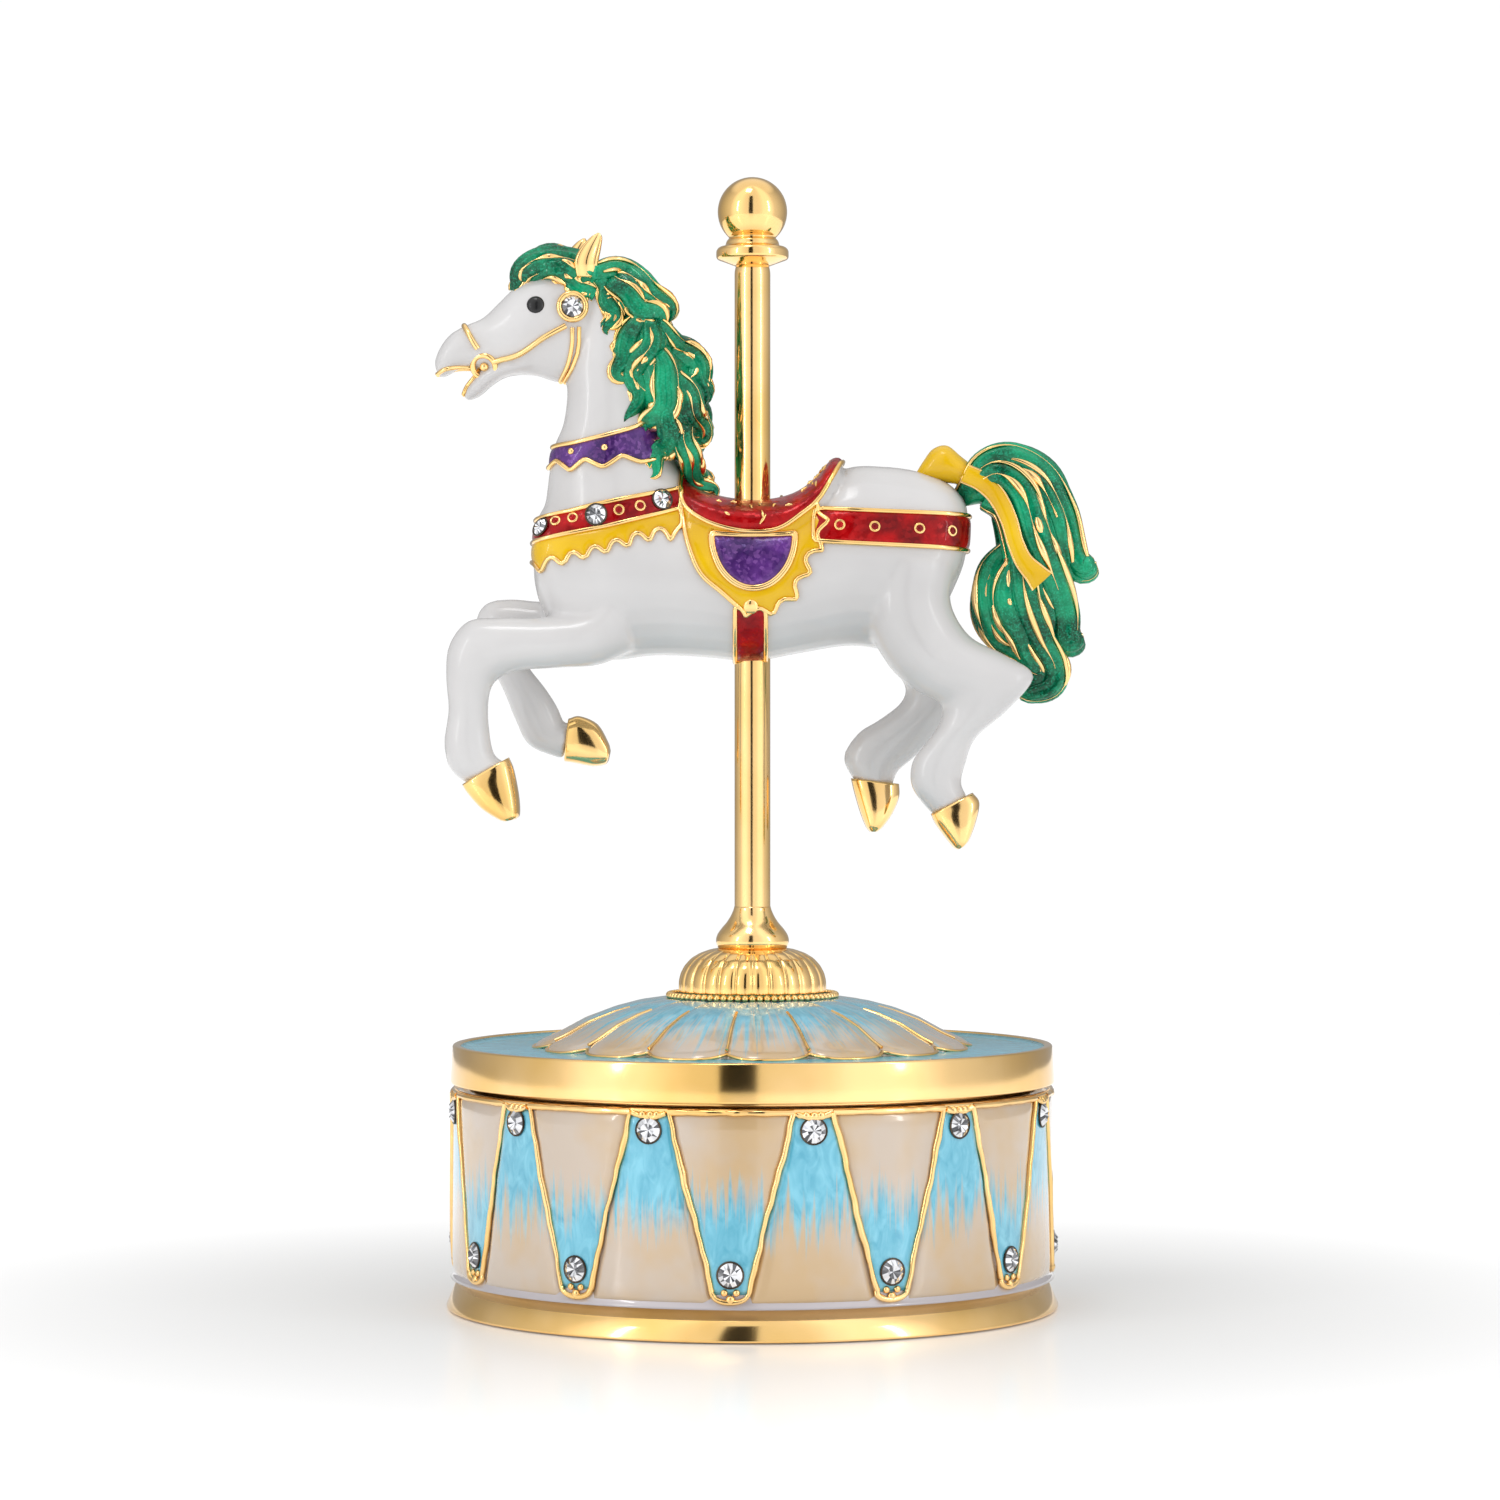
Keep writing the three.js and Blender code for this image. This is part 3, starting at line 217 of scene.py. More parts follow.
looks = {
    "whiteEnamel": {"dark": (0.54, 0.53, 0.53), "light": (0.62, 0.61, 0.61), "rough": 0.25, "scale": 50.0,
                    "coat": 0.5, "coatRough": 0.14},
    "greenEnamel": {"dark": (0.0, 0.055, 0.022), "light": (0.002, 0.31, 0.14), "rough": 0.25, "flakes": 0.35,
                    "flakeScale": 5200.0, "tilt": 0.12, "spark": (0.02, 0.60, 0.34), "metal": 0.15,
                    "scale": 210.0,
                    "coat": 0.45, "coatRough": 0.04, "specular": 0.1},
    "yellowEnamel": {"dark": (0.66, 0.38, 0.0), "light": (0.78, 0.49, 0.001), "rough": 0.25, "coat": 0.35},
    "redEnamel": {"dark": (0.15, 0.0, 0.002), "light": (0.44, 0.0, 0.002), "rough": 0.2, "flakes": 0.2,
                  "flakeScale": 1800.0, "tilt": 0.2, "spark": (0.60, 0.01, 0.01), "metal": 0.3,
                  "scale": 300.0,
                  "coat": 0.25, "specular": 0.15},
    "purpleEnamel": {"dark": (0.035, 0.006, 0.10), "light": (0.12, 0.03, 0.24), "rough": 0.25, "flakes": 0.35,
                     "flakeScale": 2600.0, "tilt": 0.25, "spark": (0.32, 0.12, 0.45), "metal": 0.3,
                     "scale": 320.0,
                     "coat": 0.4},
}
goldMaterial = makeGold("goldPlate", goldLook)
enamels = {name: makeEnamel(name, look) for name, look in looks.items()}
print("finishes ready")


def makePiece(name, verts, faces, material, smooth=True):
    # verts in millimetres
    mesh = bpy.data.meshes.new(name)
    corners = [tuple(v) for v in np.asarray(verts, float) * mm]
    mesh.from_pydata(corners, [], [tuple(int(i) for i in f) for f in faces])
    mesh.validate()
    mesh.update()
    if smooth:
        mesh.shade_smooth()
    obj = bpy.data.objects.new(name, mesh)
    bpy.context.scene.collection.objects.link(obj)
    obj.data.materials.append(material)
    return obj


def settle(obj, body, slot, *nodes):
    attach(obj, body)
    if nodes:
        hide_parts(*nodes)


def catmull(points, steps):
    # smooth open curve through the points, any number of columns
    p = np.asarray(points, float)
    p = np.vstack([2 * p[0] - p[1], p, 2 * p[-1] - p[-2]])
    out = []
    for k in range(1, len(p) - 2):
        a, b, c, d = p[k - 1], p[k], p[k + 1], p[k + 2]
        for t in np.arange(steps) / steps:
            square, cube = (2 * a - 5 * b + 4 * c - d) * t * t, (3 * b - a - 3 * c + d) * t ** 3
            out.append(0.5 * (2 * b + (c - a) * t + square + cube))
    out.append(p[-2])
    return np.array(out)


def ringsToMesh(rings):
    rings = np.asarray(rings, float)
    rows, count = rings.shape[:2]
    verts = rings.reshape(-1, 3)
    faces = []
    for k in range(rows - 1):
        for i in range(count):
            a = k * count + i
            b = k * count + (i + 1) % count
            faces.append((a, b, b + count, a + count))
    faces.append(tuple(range(count - 1, -1, -1)))
    faces.append(tuple(range((rows - 1) * count, rows * count)))
    return verts, faces


def lathe(profile, sides=128, closed=False):
    # profile of [radius, z], revolved about the turntable's axis
    angles = np.linspace(0, 2 * math.pi, sides, endpoint=False)
    verts = [(r * math.cos(a), r * math.sin(a), z) for r, z in profile for a in angles]
    faces = []
    rows = len(profile)
    last = rows if closed else rows - 1
    for k in range(last):
        for i in range(sides):
            a = k * sides + i
            b = k * sides + (i + 1) % sides
            c = ((k + 1) % rows) * sides + (i + 1) % sides
            d = ((k + 1) % rows) * sides + i
            faces.append((a, b, c, d))
    if not closed:
        faces.append(tuple(range(sides - 1, -1, -1)))
        faces.append(tuple(range((rows - 1) * sides, rows * sides)))
    return verts, faces


def roundProfile(points, radius, steps=4):
    # a profile whose inner corners are rounded off with short arcs
    p = [np.array(q, float) for q in points]
    out = [p[0]]
    for a, b, c in zip(p, p[1:], p[2:]):
        before = (a - b) / max(np.linalg.norm(a - b), 1e-9)
        after = (c - b) / max(np.linalg.norm(c - b), 1e-9)
        reach = min(radius, 0.45 * np.linalg.norm(a - b), 0.45 * np.linalg.norm(c - b))
        start, end = b + before * reach, b + after * reach
        for t in np.linspace(0, 1, steps + 1):
            out.append((1 - t) ** 2 * start + 2 * t * (1 - t) * b + t * t * end)
    out.append(p[-1])
    return out


def wirePiece(name, lines, radius, material, widths=None, rings=3):
    # gold wire laid along each line of points, in millimetres; widths scale the radius at each point
    curve = bpy.data.curves.new(name, "CURVE")
    curve.dimensions = "3D"
    curve.bevel_depth = radius * mm
    curve.bevel_resolution = rings
    curve.use_fill_caps = True
    for k, line in enumerate(lines):
        spline = curve.splines.new("POLY")
        spline.points.add(len(line) - 1)
        flat = np.c_[np.asarray(line, float) * mm, np.ones(len(line))]
        spline.points.foreach_set("co", flat.ravel())
        if widths is not None:
            spline.points.foreach_set("radius", np.asarray(widths[k], float))
    obj = bpy.data.objects.new(name, curve)
    bpy.context.scene.collection.objects.link(obj)
    obj.data.materials.append(material)
    return obj


def applyModifiers(obj):
    graph = bpy.context.evaluated_depsgraph_get()
    mesh = bpy.data.meshes.new_from_object(obj.evaluated_get(graph))
    obj.modifiers.clear()
    obj.data = mesh


def meshArrays(obj):
    mesh = obj.data
    mesh.calc_loop_triangles()
    verts = np.empty(len(mesh.vertices) * 3)
    mesh.vertices.foreach_get("co", verts)
    normals = np.empty(len(mesh.vertices) * 3)
    mesh.vertices.foreach_get("normal", normals)
    tris = np.empty(len(mesh.loop_triangles) * 3, int)
    mesh.loop_triangles.foreach_get("vertices", tris)
    return verts.reshape(-1, 3), normals.reshape(-1, 3), tris.reshape(-1, 3)


def joinRaw(parts):
    verts, faces, base = [], [], 0
    for v, f in parts:
        verts.append(np.asarray(v, float))
        faces += [tuple(i + base for i in face) for face in f]
        base += len(v)
    return np.vstack(verts), faces


poleLow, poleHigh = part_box("pole")
poleX = (poleLow.x + poleHigh.x) / 2 / mm
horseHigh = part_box("horse_body")[1]
horseMid = horseHigh.z / mm - 38.2       # middle of the trunk, from the top of the head

# each station: upper edge x z, lower edge x z seen from the side, half thickness, sideways place
horseShape = {
    "trunk": [
        (-26.8, 4, -26.8, -1, 2, 0), (-26, 7.4, -26, -4, 5.6, 0), (-23.5, 9.2, -23.5, -8.3, 7.2, 0),
        (-18, 9.9, -18, -10.7, 8, 0), (-12, 9.6, -12, -10.2, 8.3, 0), (-6, 8.5, -6, -10.4, 8.4, 0),
        (0, 7.8, 0, -10.9, 8.5, 0), (6, 9.3, 6, -9.9, 8.4, 0), (11.5, 12.8, 12, -9, 8.2, 0),
        (16.5, 13, 17, -9.6, 8, 0), (20.5, 12.4, 21, -9.5, 7.6, 0), (24, 11, 23.5, -4.6, 6.4, 0),
        (26, 8.9, 25.7, 0.3, 4.2, 0), (26.5, 6.7, 26.4, 3.4, 1.6, 0)],
    "neck": [
        (-25, -2, -6.5, 1.5, 7, 0), (-26, 5, -6.5, 7, 6.9, 0), (-25.3, 9.4, -7.8, 10.6, 6.1, 0),
        (-25, 12, -9.5, 14, 5.3, 0), (-24.4, 15.4, -11, 18.6, 4.6, 0), (-23.3, 18, -12.3, 23.7, 4.1, 0),
        (-22.8, 21.2, -13.1, 28, 3.8, 0), (-22.7, 24, -13.8, 32, 3.6, 0), (-21.8, 27.3, -15.7, 35, 3.3, 0),
        (-21.4, 30, -18.2, 36.5, 2.6, 0)],
    "head": [
        (-18, 35.6, -18.2, 31.3, 1.6, 0), (-20.5, 37.2, -20.2, 26, 3.1, 0),
        (-23.6, 37.6, -23.4, 23.4, 3.6, 0),
        (-26.7, 36.6, -26.4, 24.1, 3.7, 0), (-29.2, 35, -29.1, 24.3, 3.5, 0), (-31.1, 33.2, -31, 24.4, 3, 0),
        (-33.1, 31.3, -32.6, 24.8, 2.6, 0), (-35.4, 30.3, -34.5, 25, 2.5, 0),
        (-37.3, 29.1, -36.1, 24.9, 2.4, 0),
        (-38.6, 27.2, -37.5, 24.1, 2, 0), (-39.1, 25.6, -38.4, 23.8, 1.1, 0)],
    "jaw": [
        (-28.6, 26.7, -27.3, 24.4, 2.6, 0), (-31, 25.9, -30.2, 24, 2.5, 0), (-33.1, 24.9, -32, 22.9, 2.1, 0),
        (-34.6, 23.4, -33.5, 21.6, 1.7, 0), (-35.6, 21.9, -35, 21, 1, 0)],
    "nearForeleg": [
        (-17.4, -0.4, -14.4, -9.6, 4.2, -3.2), (-19.8, -4.5, -18.6, -11.4, 4, -4.4),
        (-25.3, -5.6, -23.2, -11.8, 3.5, -5.2), (-30.7, -5.7, -28.3, -12.1, 3.2, -5.4),
        (-34.6, -6.1, -30.5, -12.9, 3, -5.4), (-36.9, -9, -31.7, -14.1, 2.8, -5.4),
        (-37.3, -12.7, -32.1, -16, 2.5, -5.4), (-37, -16.9, -32.1, -18.3, 2.3, -5.4),
        (-37.5, -20.8, -31.8, -20.8, 2.4, -5.4), (-36.9, -23.9, -31.3, -22.5, 2.5, -5.4),
        (-34.9, -25.9, -30, -23.3, 2.3, -5.4)],
    "farForeleg": [
        (-17.6, -0.2, -14.5, -9.4, 4.2, 3.2), (-20.1, -3, -18.9, -9.4, 3.9, 4.4),
        (-25.7, -3.4, -23.9, -10, 3.4, 5.2), (-30.1, -3.1, -27.6, -9.6, 3.1, 5.4),
        (-33.1, -3.7, -28.8, -10.1, 3, 5.4), (-34.3, -6.2, -28.2, -10.6, 2.8, 5.4),
        (-33.1, -10, -27.4, -12, 2.5, 5.4), (-30.9, -14.4, -25.7, -14.1, 2.3, 5.4),
        (-29.3, -18.3, -24.1, -16.6, 2.3, 5.4), (-27.6, -21.3, -23.3, -18.6, 2.4, 5.4),
        (-23.5, -23, -22.4, -18.1, 2.3, 5.4)],
    "nearHindLeg": [
        (14.1, 1.4, 24.9, 0.8, 5, -3.2), (13.9, -5.9, 24.2, -3.7, 4.9, -3.6),
        (16.5, -11.4, 26.5, -7.9, 4.5, -4.2), (19.8, -14.5, 30.8, -10.2, 3.8, -4.8),
        (22.8, -16.2, 34.3, -12.8, 3.1, -5.2), (22.8, -18.4, 31.1, -16.9, 2.7, -5.3),
        (21.1, -20.9, 27.2, -20.3, 2.4, -5.4), (19.4, -23.3, 25.9, -23.5, 2.4, -5.4),
        (19.4, -26.4, 25.4, -25.9, 2.5, -5.4), (21.8, -29.6, 26.2, -27.5, 2.3, -5.4)],
    "farHindLeg": [
        (14.3, 1.7, 25.1, 1.1, 5, 3.2), (14.3, -5.7, 24.4, -3.5, 4.9, 3.6),
        (16.3, -10.4, 25.9, -8.2, 4.4, 4.2), (18.8, -13.6, 27.6, -11.6, 3.7, 4.8),
        (18.5, -15.8, 26.7, -15.6, 3.1, 5.2), (15.8, -18, 22.6, -20.3, 2.7, 5.3),
        (13.1, -19.7, 19.8, -23, 2.5, 5.4), (11.3, -22.7, 18, -24.5, 2.5, 5.4),
        (12.5, -25.5, 17.4, -26.3, 2.3, 5.4)],
    # the seat: pommel, dip and cantle standing above the back
    "seat": [
        (-8.9, 11.4, -8.9, 5, 5.2, 0), (-6.6, 9.9, -6.6, 4, 6.6, 0), (-3, 8.9, -3, 3, 7.4, 0),
        (1, 8.6, 1, 3, 7.6, 0), (5, 9.4, 5, 3, 7.4, 0), (8, 11.4, 7.4, 5, 6.8, 0),
        (9.8, 13.6, 9, 7, 6, 0), (11, 14, 10.4, 10, 4.6, 0)],
}
horseSettings = {"voxel": 0.36, "smoothing": 10, "sides": 28, "steps": 6}
rayStart = 40.0       # well outside the horse, from where a ray is sent in sideways


def ovalLoft(stations, sides, steps):
    rows = catmull(stations, steps)
    rings = []
    angles = np.linspace(0, 2 * math.pi, sides, endpoint=False)
    for ax, az, bx, bz, half, side in rows:
        across = np.cos(angles)
        x = (ax + bx) / 2 + (ax - bx) / 2 * across + poleX
        z = (az + bz) / 2 + (az - bz) / 2 * across + horseMid
        rings.append(np.c_[x, side + half * np.sin(angles), z])
    return ringsToMesh(rings)


def remeshed(name, parts, voxel, smoothing, material):
    # several closed lofts fused into one skin, then smoothed so their joints flow together
    verts, faces = joinRaw(parts)
    obj = makePiece(name, verts / mm, faces, material)      # kept in millimetres while it is remeshed
    bm = bmesh.new()
    bm.from_mesh(obj.data)
    bmesh.ops.recalc_face_normals(bm, faces=bm.faces)
    bm.to_mesh(obj.data)
    bm.free()
    remesh = obj.modifiers.new("fuse", "REMESH")
    remesh.mode = "VOXEL"
    remesh.voxel_size = voxel
    remesh.use_smooth_shade = True
    soften = obj.modifiers.new("soften", "SMOOTH")
    soften.factor = 0.5
    soften.iterations = smoothing
    applyModifiers(obj)
    flat = np.empty(len(obj.data.vertices) * 3)
    obj.data.vertices.foreach_get("co", flat)
    obj.data.vertices.foreach_set("co", flat * mm)
    obj.data.update()
    obj.data.materials.clear()
    obj.data.materials.append(material)
    obj.data.shade_smooth()
    return obj


def buildHorse():
    s = horseSettings
    parts = [ovalLoft(stations, s["sides"], s["steps"]) for stations in horseShape.values()]
    return remeshed("horse_casting", parts, s["voxel"], s["smoothing"], enamels["whiteEnamel"])


horse = buildHorse()
settle(horse, "carousel", "white_enamel", "horse_body")
bodyVerts, bodyNormals, bodyTris = meshArrays(horse)
bodyVerts = bodyVerts / mm
bodyTree = BVHTree.FromPolygons([Vector(v) for v in bodyVerts], [tuple(t) for t in bodyTris])
print("horse casting:", len(bodyVerts), "points")

shortestChain = 6
farAway = 99.0       # the distance written for points that no field reaches


def outlineDistance(points, outline):
    # signed distance in the side view, negative inside the closed outline
    p = np.asarray(points, float)[:, None, :]
    a = np.asarray(outline, float)[None]
    b = np.roll(a, -1, axis=1)
    ab = b - a
    t = np.clip(((p - a) * ab).sum(2) / np.maximum((ab ** 2).sum(2), 1e-12), 0, 1)
    gap = p - a - ab * t[..., None]
    distance = np.sqrt((gap ** 2).sum(2)).min(1)
    crosses = (a[..., 1] > p[..., 1]) != (b[..., 1] > p[..., 1])
    rise = np.where(np.abs(ab[..., 1]) < 1e-12, 1e-12, ab[..., 1])
    xCross = a[..., 0] + ab[..., 0] * (p[..., 1] - a[..., 1]) / rise
    inside = (np.sum(crosses & (p[..., 0] < xCross), axis=1) % 2) == 1
    return np.where(inside, -distance, distance)


def fieldDistance(outline, margin=3.0):
    # distance of every point of the casting from an outline; far points are left at a large value
    side = np.c_[bodyVerts[:, 0] - poleX, bodyVerts[:, 2] - horseMid]
    outline = np.asarray(outline, float)
    low, high = outline.min(0) - margin, outline.max(0) + margin
    near = np.all((side > low) & (side < high), axis=1)
    result = np.full(len(side), farAway)
    result[near] = outlineDistance(side[near], outline)
    return result


def cutField(distance):
    # the part of the casting where distance is negative, its triangles split along the edge line
    keep = np.any(distance[bodyTris] < 0, axis=1) & np.all(distance[bodyTris] < farAway / 2, axis=1)
    order, verts, normals, depth, faces, edges = {}, [], [], [], [], []

    def corner(i):
        key = (i, i)
        if key not in order:
            order[key] = len(verts)
            verts.append(bodyVerts[i])
            normals.append(bodyNormals[i])
            depth.append(distance[i])
        return order[key]

    def crossing(i, j):
        key = (min(i, j), max(i, j))
        if key not in order:
            t = distance[i] / (distance[i] - distance[j])
            order[key] = len(verts)
            verts.append(bodyVerts[i] * (1 - t) + bodyVerts[j] * t)
            n = bodyNormals[i] * (1 - t) + bodyNormals[j] * t
            normals.append(n / max(np.linalg.norm(n), 1e-9))
            depth.append(0.0)
        return order[key]

    for tri in bodyTris[keep]:
        inside = [distance[i] < 0 for i in tri]
        if all(inside):
            faces.append(tuple(corner(i) for i in tri))
            continue
        polygon, cut = [], []
        for k in range(3):
            i, j = tri[k], tri[(k + 1) % 3]
            if inside[k]:
                polygon.append(corner(i))
            if inside[k] != inside[(k + 1) % 3]:
                polygon.append(crossing(i, j))
                cut.append(polygon[-1])
        faces.append(tuple(polygon))
        if len(cut) == 2:
            edges.append(tuple(cut))
    return np.array(verts), np.array(normals), np.array(depth), faces, edges


def chainEdges(edges):
    # loose edges joined end to end into lines, each with whether it closes on itself
    links = {}
    for a, b in edges:
        links.setdefault(a, []).append(b)
        links.setdefault(b, []).append(a)
    seen, chains = set(), []
    starts = [k for k, v in links.items() if len(v) == 1] + list(links)
    for start in starts:
        if start in seen:
            continue
        chain = [start]
        seen.add(start)
        while True:
            nextPoints = [n for n in links[chain[-1]] if n not in seen]
            if not nextPoints:
                break
            chain.append(nextPoints[0])
            seen.add(nextPoints[0])
        if len(chain) > shortestChain:
            closed = chain[0] in links[chain[-1]]
            chains.append((chain, closed))
    return chains


def smoothLine(points, closed, passes=6, spacing=3):
    p = np.asarray(points, float)
    for _ in range(passes):
        before, after = np.roll(p, 1, 0), np.roll(p, -1, 0)
        q = 0.5 * p + 0.25 * (before + after)
        if not closed:
            q[0], q[-1] = p[0], p[-1]
        p = q
    thinned = p[::spacing]
    return thinned if closed else np.vstack([thinned, p[-1]])


fieldSettings = {"lift": 0.12, "crown": 0.22, "crownWidth": 0.9, "sink": 0.5, "wire": 0.3, "wireLift": 0.24}
wireLines = []


def enamelField(name, distance, material, slot, nodes):
    # a pillow of enamel standing on the casting, thickest away from its gold edge
    s = fieldSettings
    verts, normals, depth, faces, edges = cutField(distance)
    swell = 1 - (1 - np.clip(-depth / s["crownWidth"], 0, 1)) ** 2
    raised = verts + normals * (s["lift"] + s["crown"] * swell)[:, None]
    count = len(verts)
    sunk = verts - normals * s["sink"]
    bottom = [tuple(i + count for i in reversed(f)) for f in faces]
    rim = boundaryQuads(faces, count)
    obj = makePiece(name, np.vstack([raised, sunk]), faces + bottom + rim, material)
    settle(obj, "carousel", slot, *nodes)
    for chain, closed in chainEdges(edges):
        line = smoothLine(verts[chain] + normals[chain] * s["wireLift"], closed)
        if closed:
            line = np.vstack([line, line[:1]])
        wireLines.append(line)


def boundaryQuads(faces, count):
    # side walls under the open edges, from each top point to the bottom point count further on
    directed = {}
    for face in faces:
        for a, b in zip(face, face[1:] + face[:1]):
            directed[(a, b)] = True
    return [(b, a, a + count, b + count) for a, b in directed if (b, a) not in directed]


def scallops(line, count, depth):
    # a wavy edge: the line pushed sideways by rounded scallops
    p = catmull(line, 14)
    run = np.r_[0, np.cumsum(np.linalg.norm(np.diff(p, axis=0), axis=1))]
    run /= run[-1]
    tangent = np.gradient(p, axis=0)
    tangent /= np.linalg.norm(tangent, axis=1)[:, None]
    normal = np.c_[-tangent[:, 1], tangent[:, 0]]
    wave = np.abs(np.sin(math.pi * count * run)) - 0.5
    return p + normal * (wave * depth)[:, None]


def buildFields():
    saddleEdge = catmull([(-8.9, 10.6), (-8.2, 8), (-6, 6.3), (-3.2, 5.3), (-0.2, 4.9), (3.2, 5.2), (6, 6.9),
                          (8, 8.7), (9.8, 11.6), (11.2, 14)], 8)
    saddle = np.vstack([saddleEdge, [(11.2, 20), (-8.9, 20)]])
    blanketEdge = [(-8.5, 10), (-8.4, 6), (-7.8, 3), (-6.3, -0.4), (-3.7, -2.7), (-0.9, -5.1), (1.2, -5.2),
                   (4.3, -3.8), (6.1, -1.1), (7.3, 1.8), (8.5, 3.8), (8.6, 7), (7.8, 9)]
    blanketSmooth = catmull(blanketEdge[:6], 8)
    blanketWavy = scallops(blanketEdge[5:], 6, 1.5)
    blanket = np.vstack([blanketSmooth, blanketWavy, [(7.8, 18), (-8.5, 18)]])
    angles = np.linspace(math.pi, 2 * math.pi, 20)
    disc = np.c_[0.1 + 5.0 * np.cos(angles), 4.3 + 6.4 * np.sin(angles)]
    collarTop = catmull([(-31, 5.2), (-24, 6.8), (-18.5, 8.1), (-8.6, 10.1)], 6)
    collarLow = catmull([(-8.6, 7.6), (-18.5, 5.2), (-24, 4.1), (-31, 2.6)], 6)
    collar = np.vstack([collarTop, collarLow])
    fringeLine = [(-31, 0.2), (-26, 0.5), (-21, 1.6), (-16.2, 3), (-12.4, 4.1), (-8.6, 4.4)]
    fringe = np.vstack([scallops(fringeLine, 8.5, 1.7), collarLow])
    crupperTop = catmull([(7.4, 7.5), (16, 7.1), (32, 6.6)], 6)
    crupper = np.vstack([crupperTop, catmull([(32, 2.4), (16, 3.1), (7.4, 3.5)], 6)])
    bandTop = catmull([(-31, 13.4), (-24.8, 15.2), (-21, 15.8), (-14.6, 17.5), (-12, 19.2), (-10.6, 20.2)], 6)
    zigzag = [(-9.6, 14.2), (-13.7, 13.2), (-15.9, 14.1), (-18.1, 12.5), (-20.4, 13.7), (-22.1, 12.2),
              (-23.8, 13.6), (-25.6, 12.2), (-31, 12)]
    neckBand = np.vstack([bandTop, zigzag])
    girth = np.array([(-2.1, -4.4), (1.6, -4.4), (1.6, -20), (-2.1, -20)])

    saddleField = fieldDistance(saddle)
    saddleField[bodyVerts[:, 2] - horseMid < 2] = farAway
    discField = fieldDistance(disc)
    blanketField = np.maximum(np.maximum(fieldDistance(blanket), -saddleField), -(discField - 0.25))
    collarField = fieldDistance(collar)
    girthField = np.maximum(fieldDistance(girth), -fieldDistance(blanket))
    fringeField = np.maximum(fieldDistance(fringe), -collarField)
    for name, field, colour, nodes in [
        ("saddle_seat", saddleField, "red", ["saddle"]),
        ("saddle_cloth", blanketField, "yellow", ["saddle_blanket"]),
        ("saddle_flaps", discField, "purple", ["saddle_flap_near", "saddle_flap_far"]),
        ("breast_strap", collarField, "red", ["breast_collar"]),
        ("breast_fringe", fringeField, "yellow", ["collar_fringe"]),
        ("crupper_strap", fieldDistance(crupper), "red", ["crupper_belt"]),
        ("neck_cloth", fieldDistance(neckBand), "purple", ["neck_band"]),
        ("girth", girthField, "red", ["girth_strap_near", "girth_strap_far"]),
    ]:
        enamelField(name, field, enamels[colour + "Enamel"], colour + "_enamel", nodes)
    wires = wirePiece("trapping_wires", wireLines, fieldSettings["wire"], goldMaterial)
    settle(wires, "carousel", "gold")
    return saddleField


saddleDepth = buildFields()
print("enamel fields ready")

hairSettings = {"core": 0.45, "wire": 0.38, "sides": 30, "steps": 7, "sink": 0.2, "thick": 0.85, "seed": 5,
                "rib": 0.12, "ribs": 6, "tip": 0.1, "edge": 0.9, "edgeLift": 0.46}
maneCore = [
    (-20.4, 35.4, -18, 37.6, 2.6, 0), (-18, 34, -14.3, 35.7, 3.6, 0), (-15.3, 30.8, -11, 32.3, 4.2, 0),
    (-15.6, 27, -9.6, 28, 4.5, 0), (-14.8, 22.7, -7.2, 23.7, 5, 0), (-13.6, 19.4, -7, 19.7, 5.4, 0),
    (-11.6, 16.3, -7, 16.3, 5.7, 0), (-9, 13.4, -6.6, 13.9, 4.6, 0), (-6.6, 11.4, -4.9, 11.8, 2, 0)]
foreCore = [
    (-28.6, 34.7, -29.2, 35.4, 1.4, 0), (-27.3, 36, -27.9, 37.6, 2.3, 0), (-24.9, 36.4, -25.2, 38.4, 3, 0),
    (-21.8, 35.8, -21.9, 38, 3.4, 0), (-18.4, 34.6, -18.2, 37.4, 3.2, 0)]
tailCore = [
    (26, 12, 26, 8, 1.6, 0), (28, 14, 28, 8.4, 2.4, 0), (31, 14.6, 29, 8.2, 3, 0),
    (35.2, 12.4, 30.4, 6.8, 3.3, 0), (37.6, 8, 31.4, 4.4, 3.4, 0), (38.6, 3.2, 31, 2, 3.5, 0),
    (38.4, -1, 28.8, -0.3, 3.4, 0), (38.2, -5.2, 28, -4.8, 3, 0.4), (37.6, -8.9, 30.6, -8.5, 2.6, 0.8),
    (37, -12.2, 33, -11.2, 2, 1), (36.2, -14.9, 33.4, -14.7, 1.4, 1)]
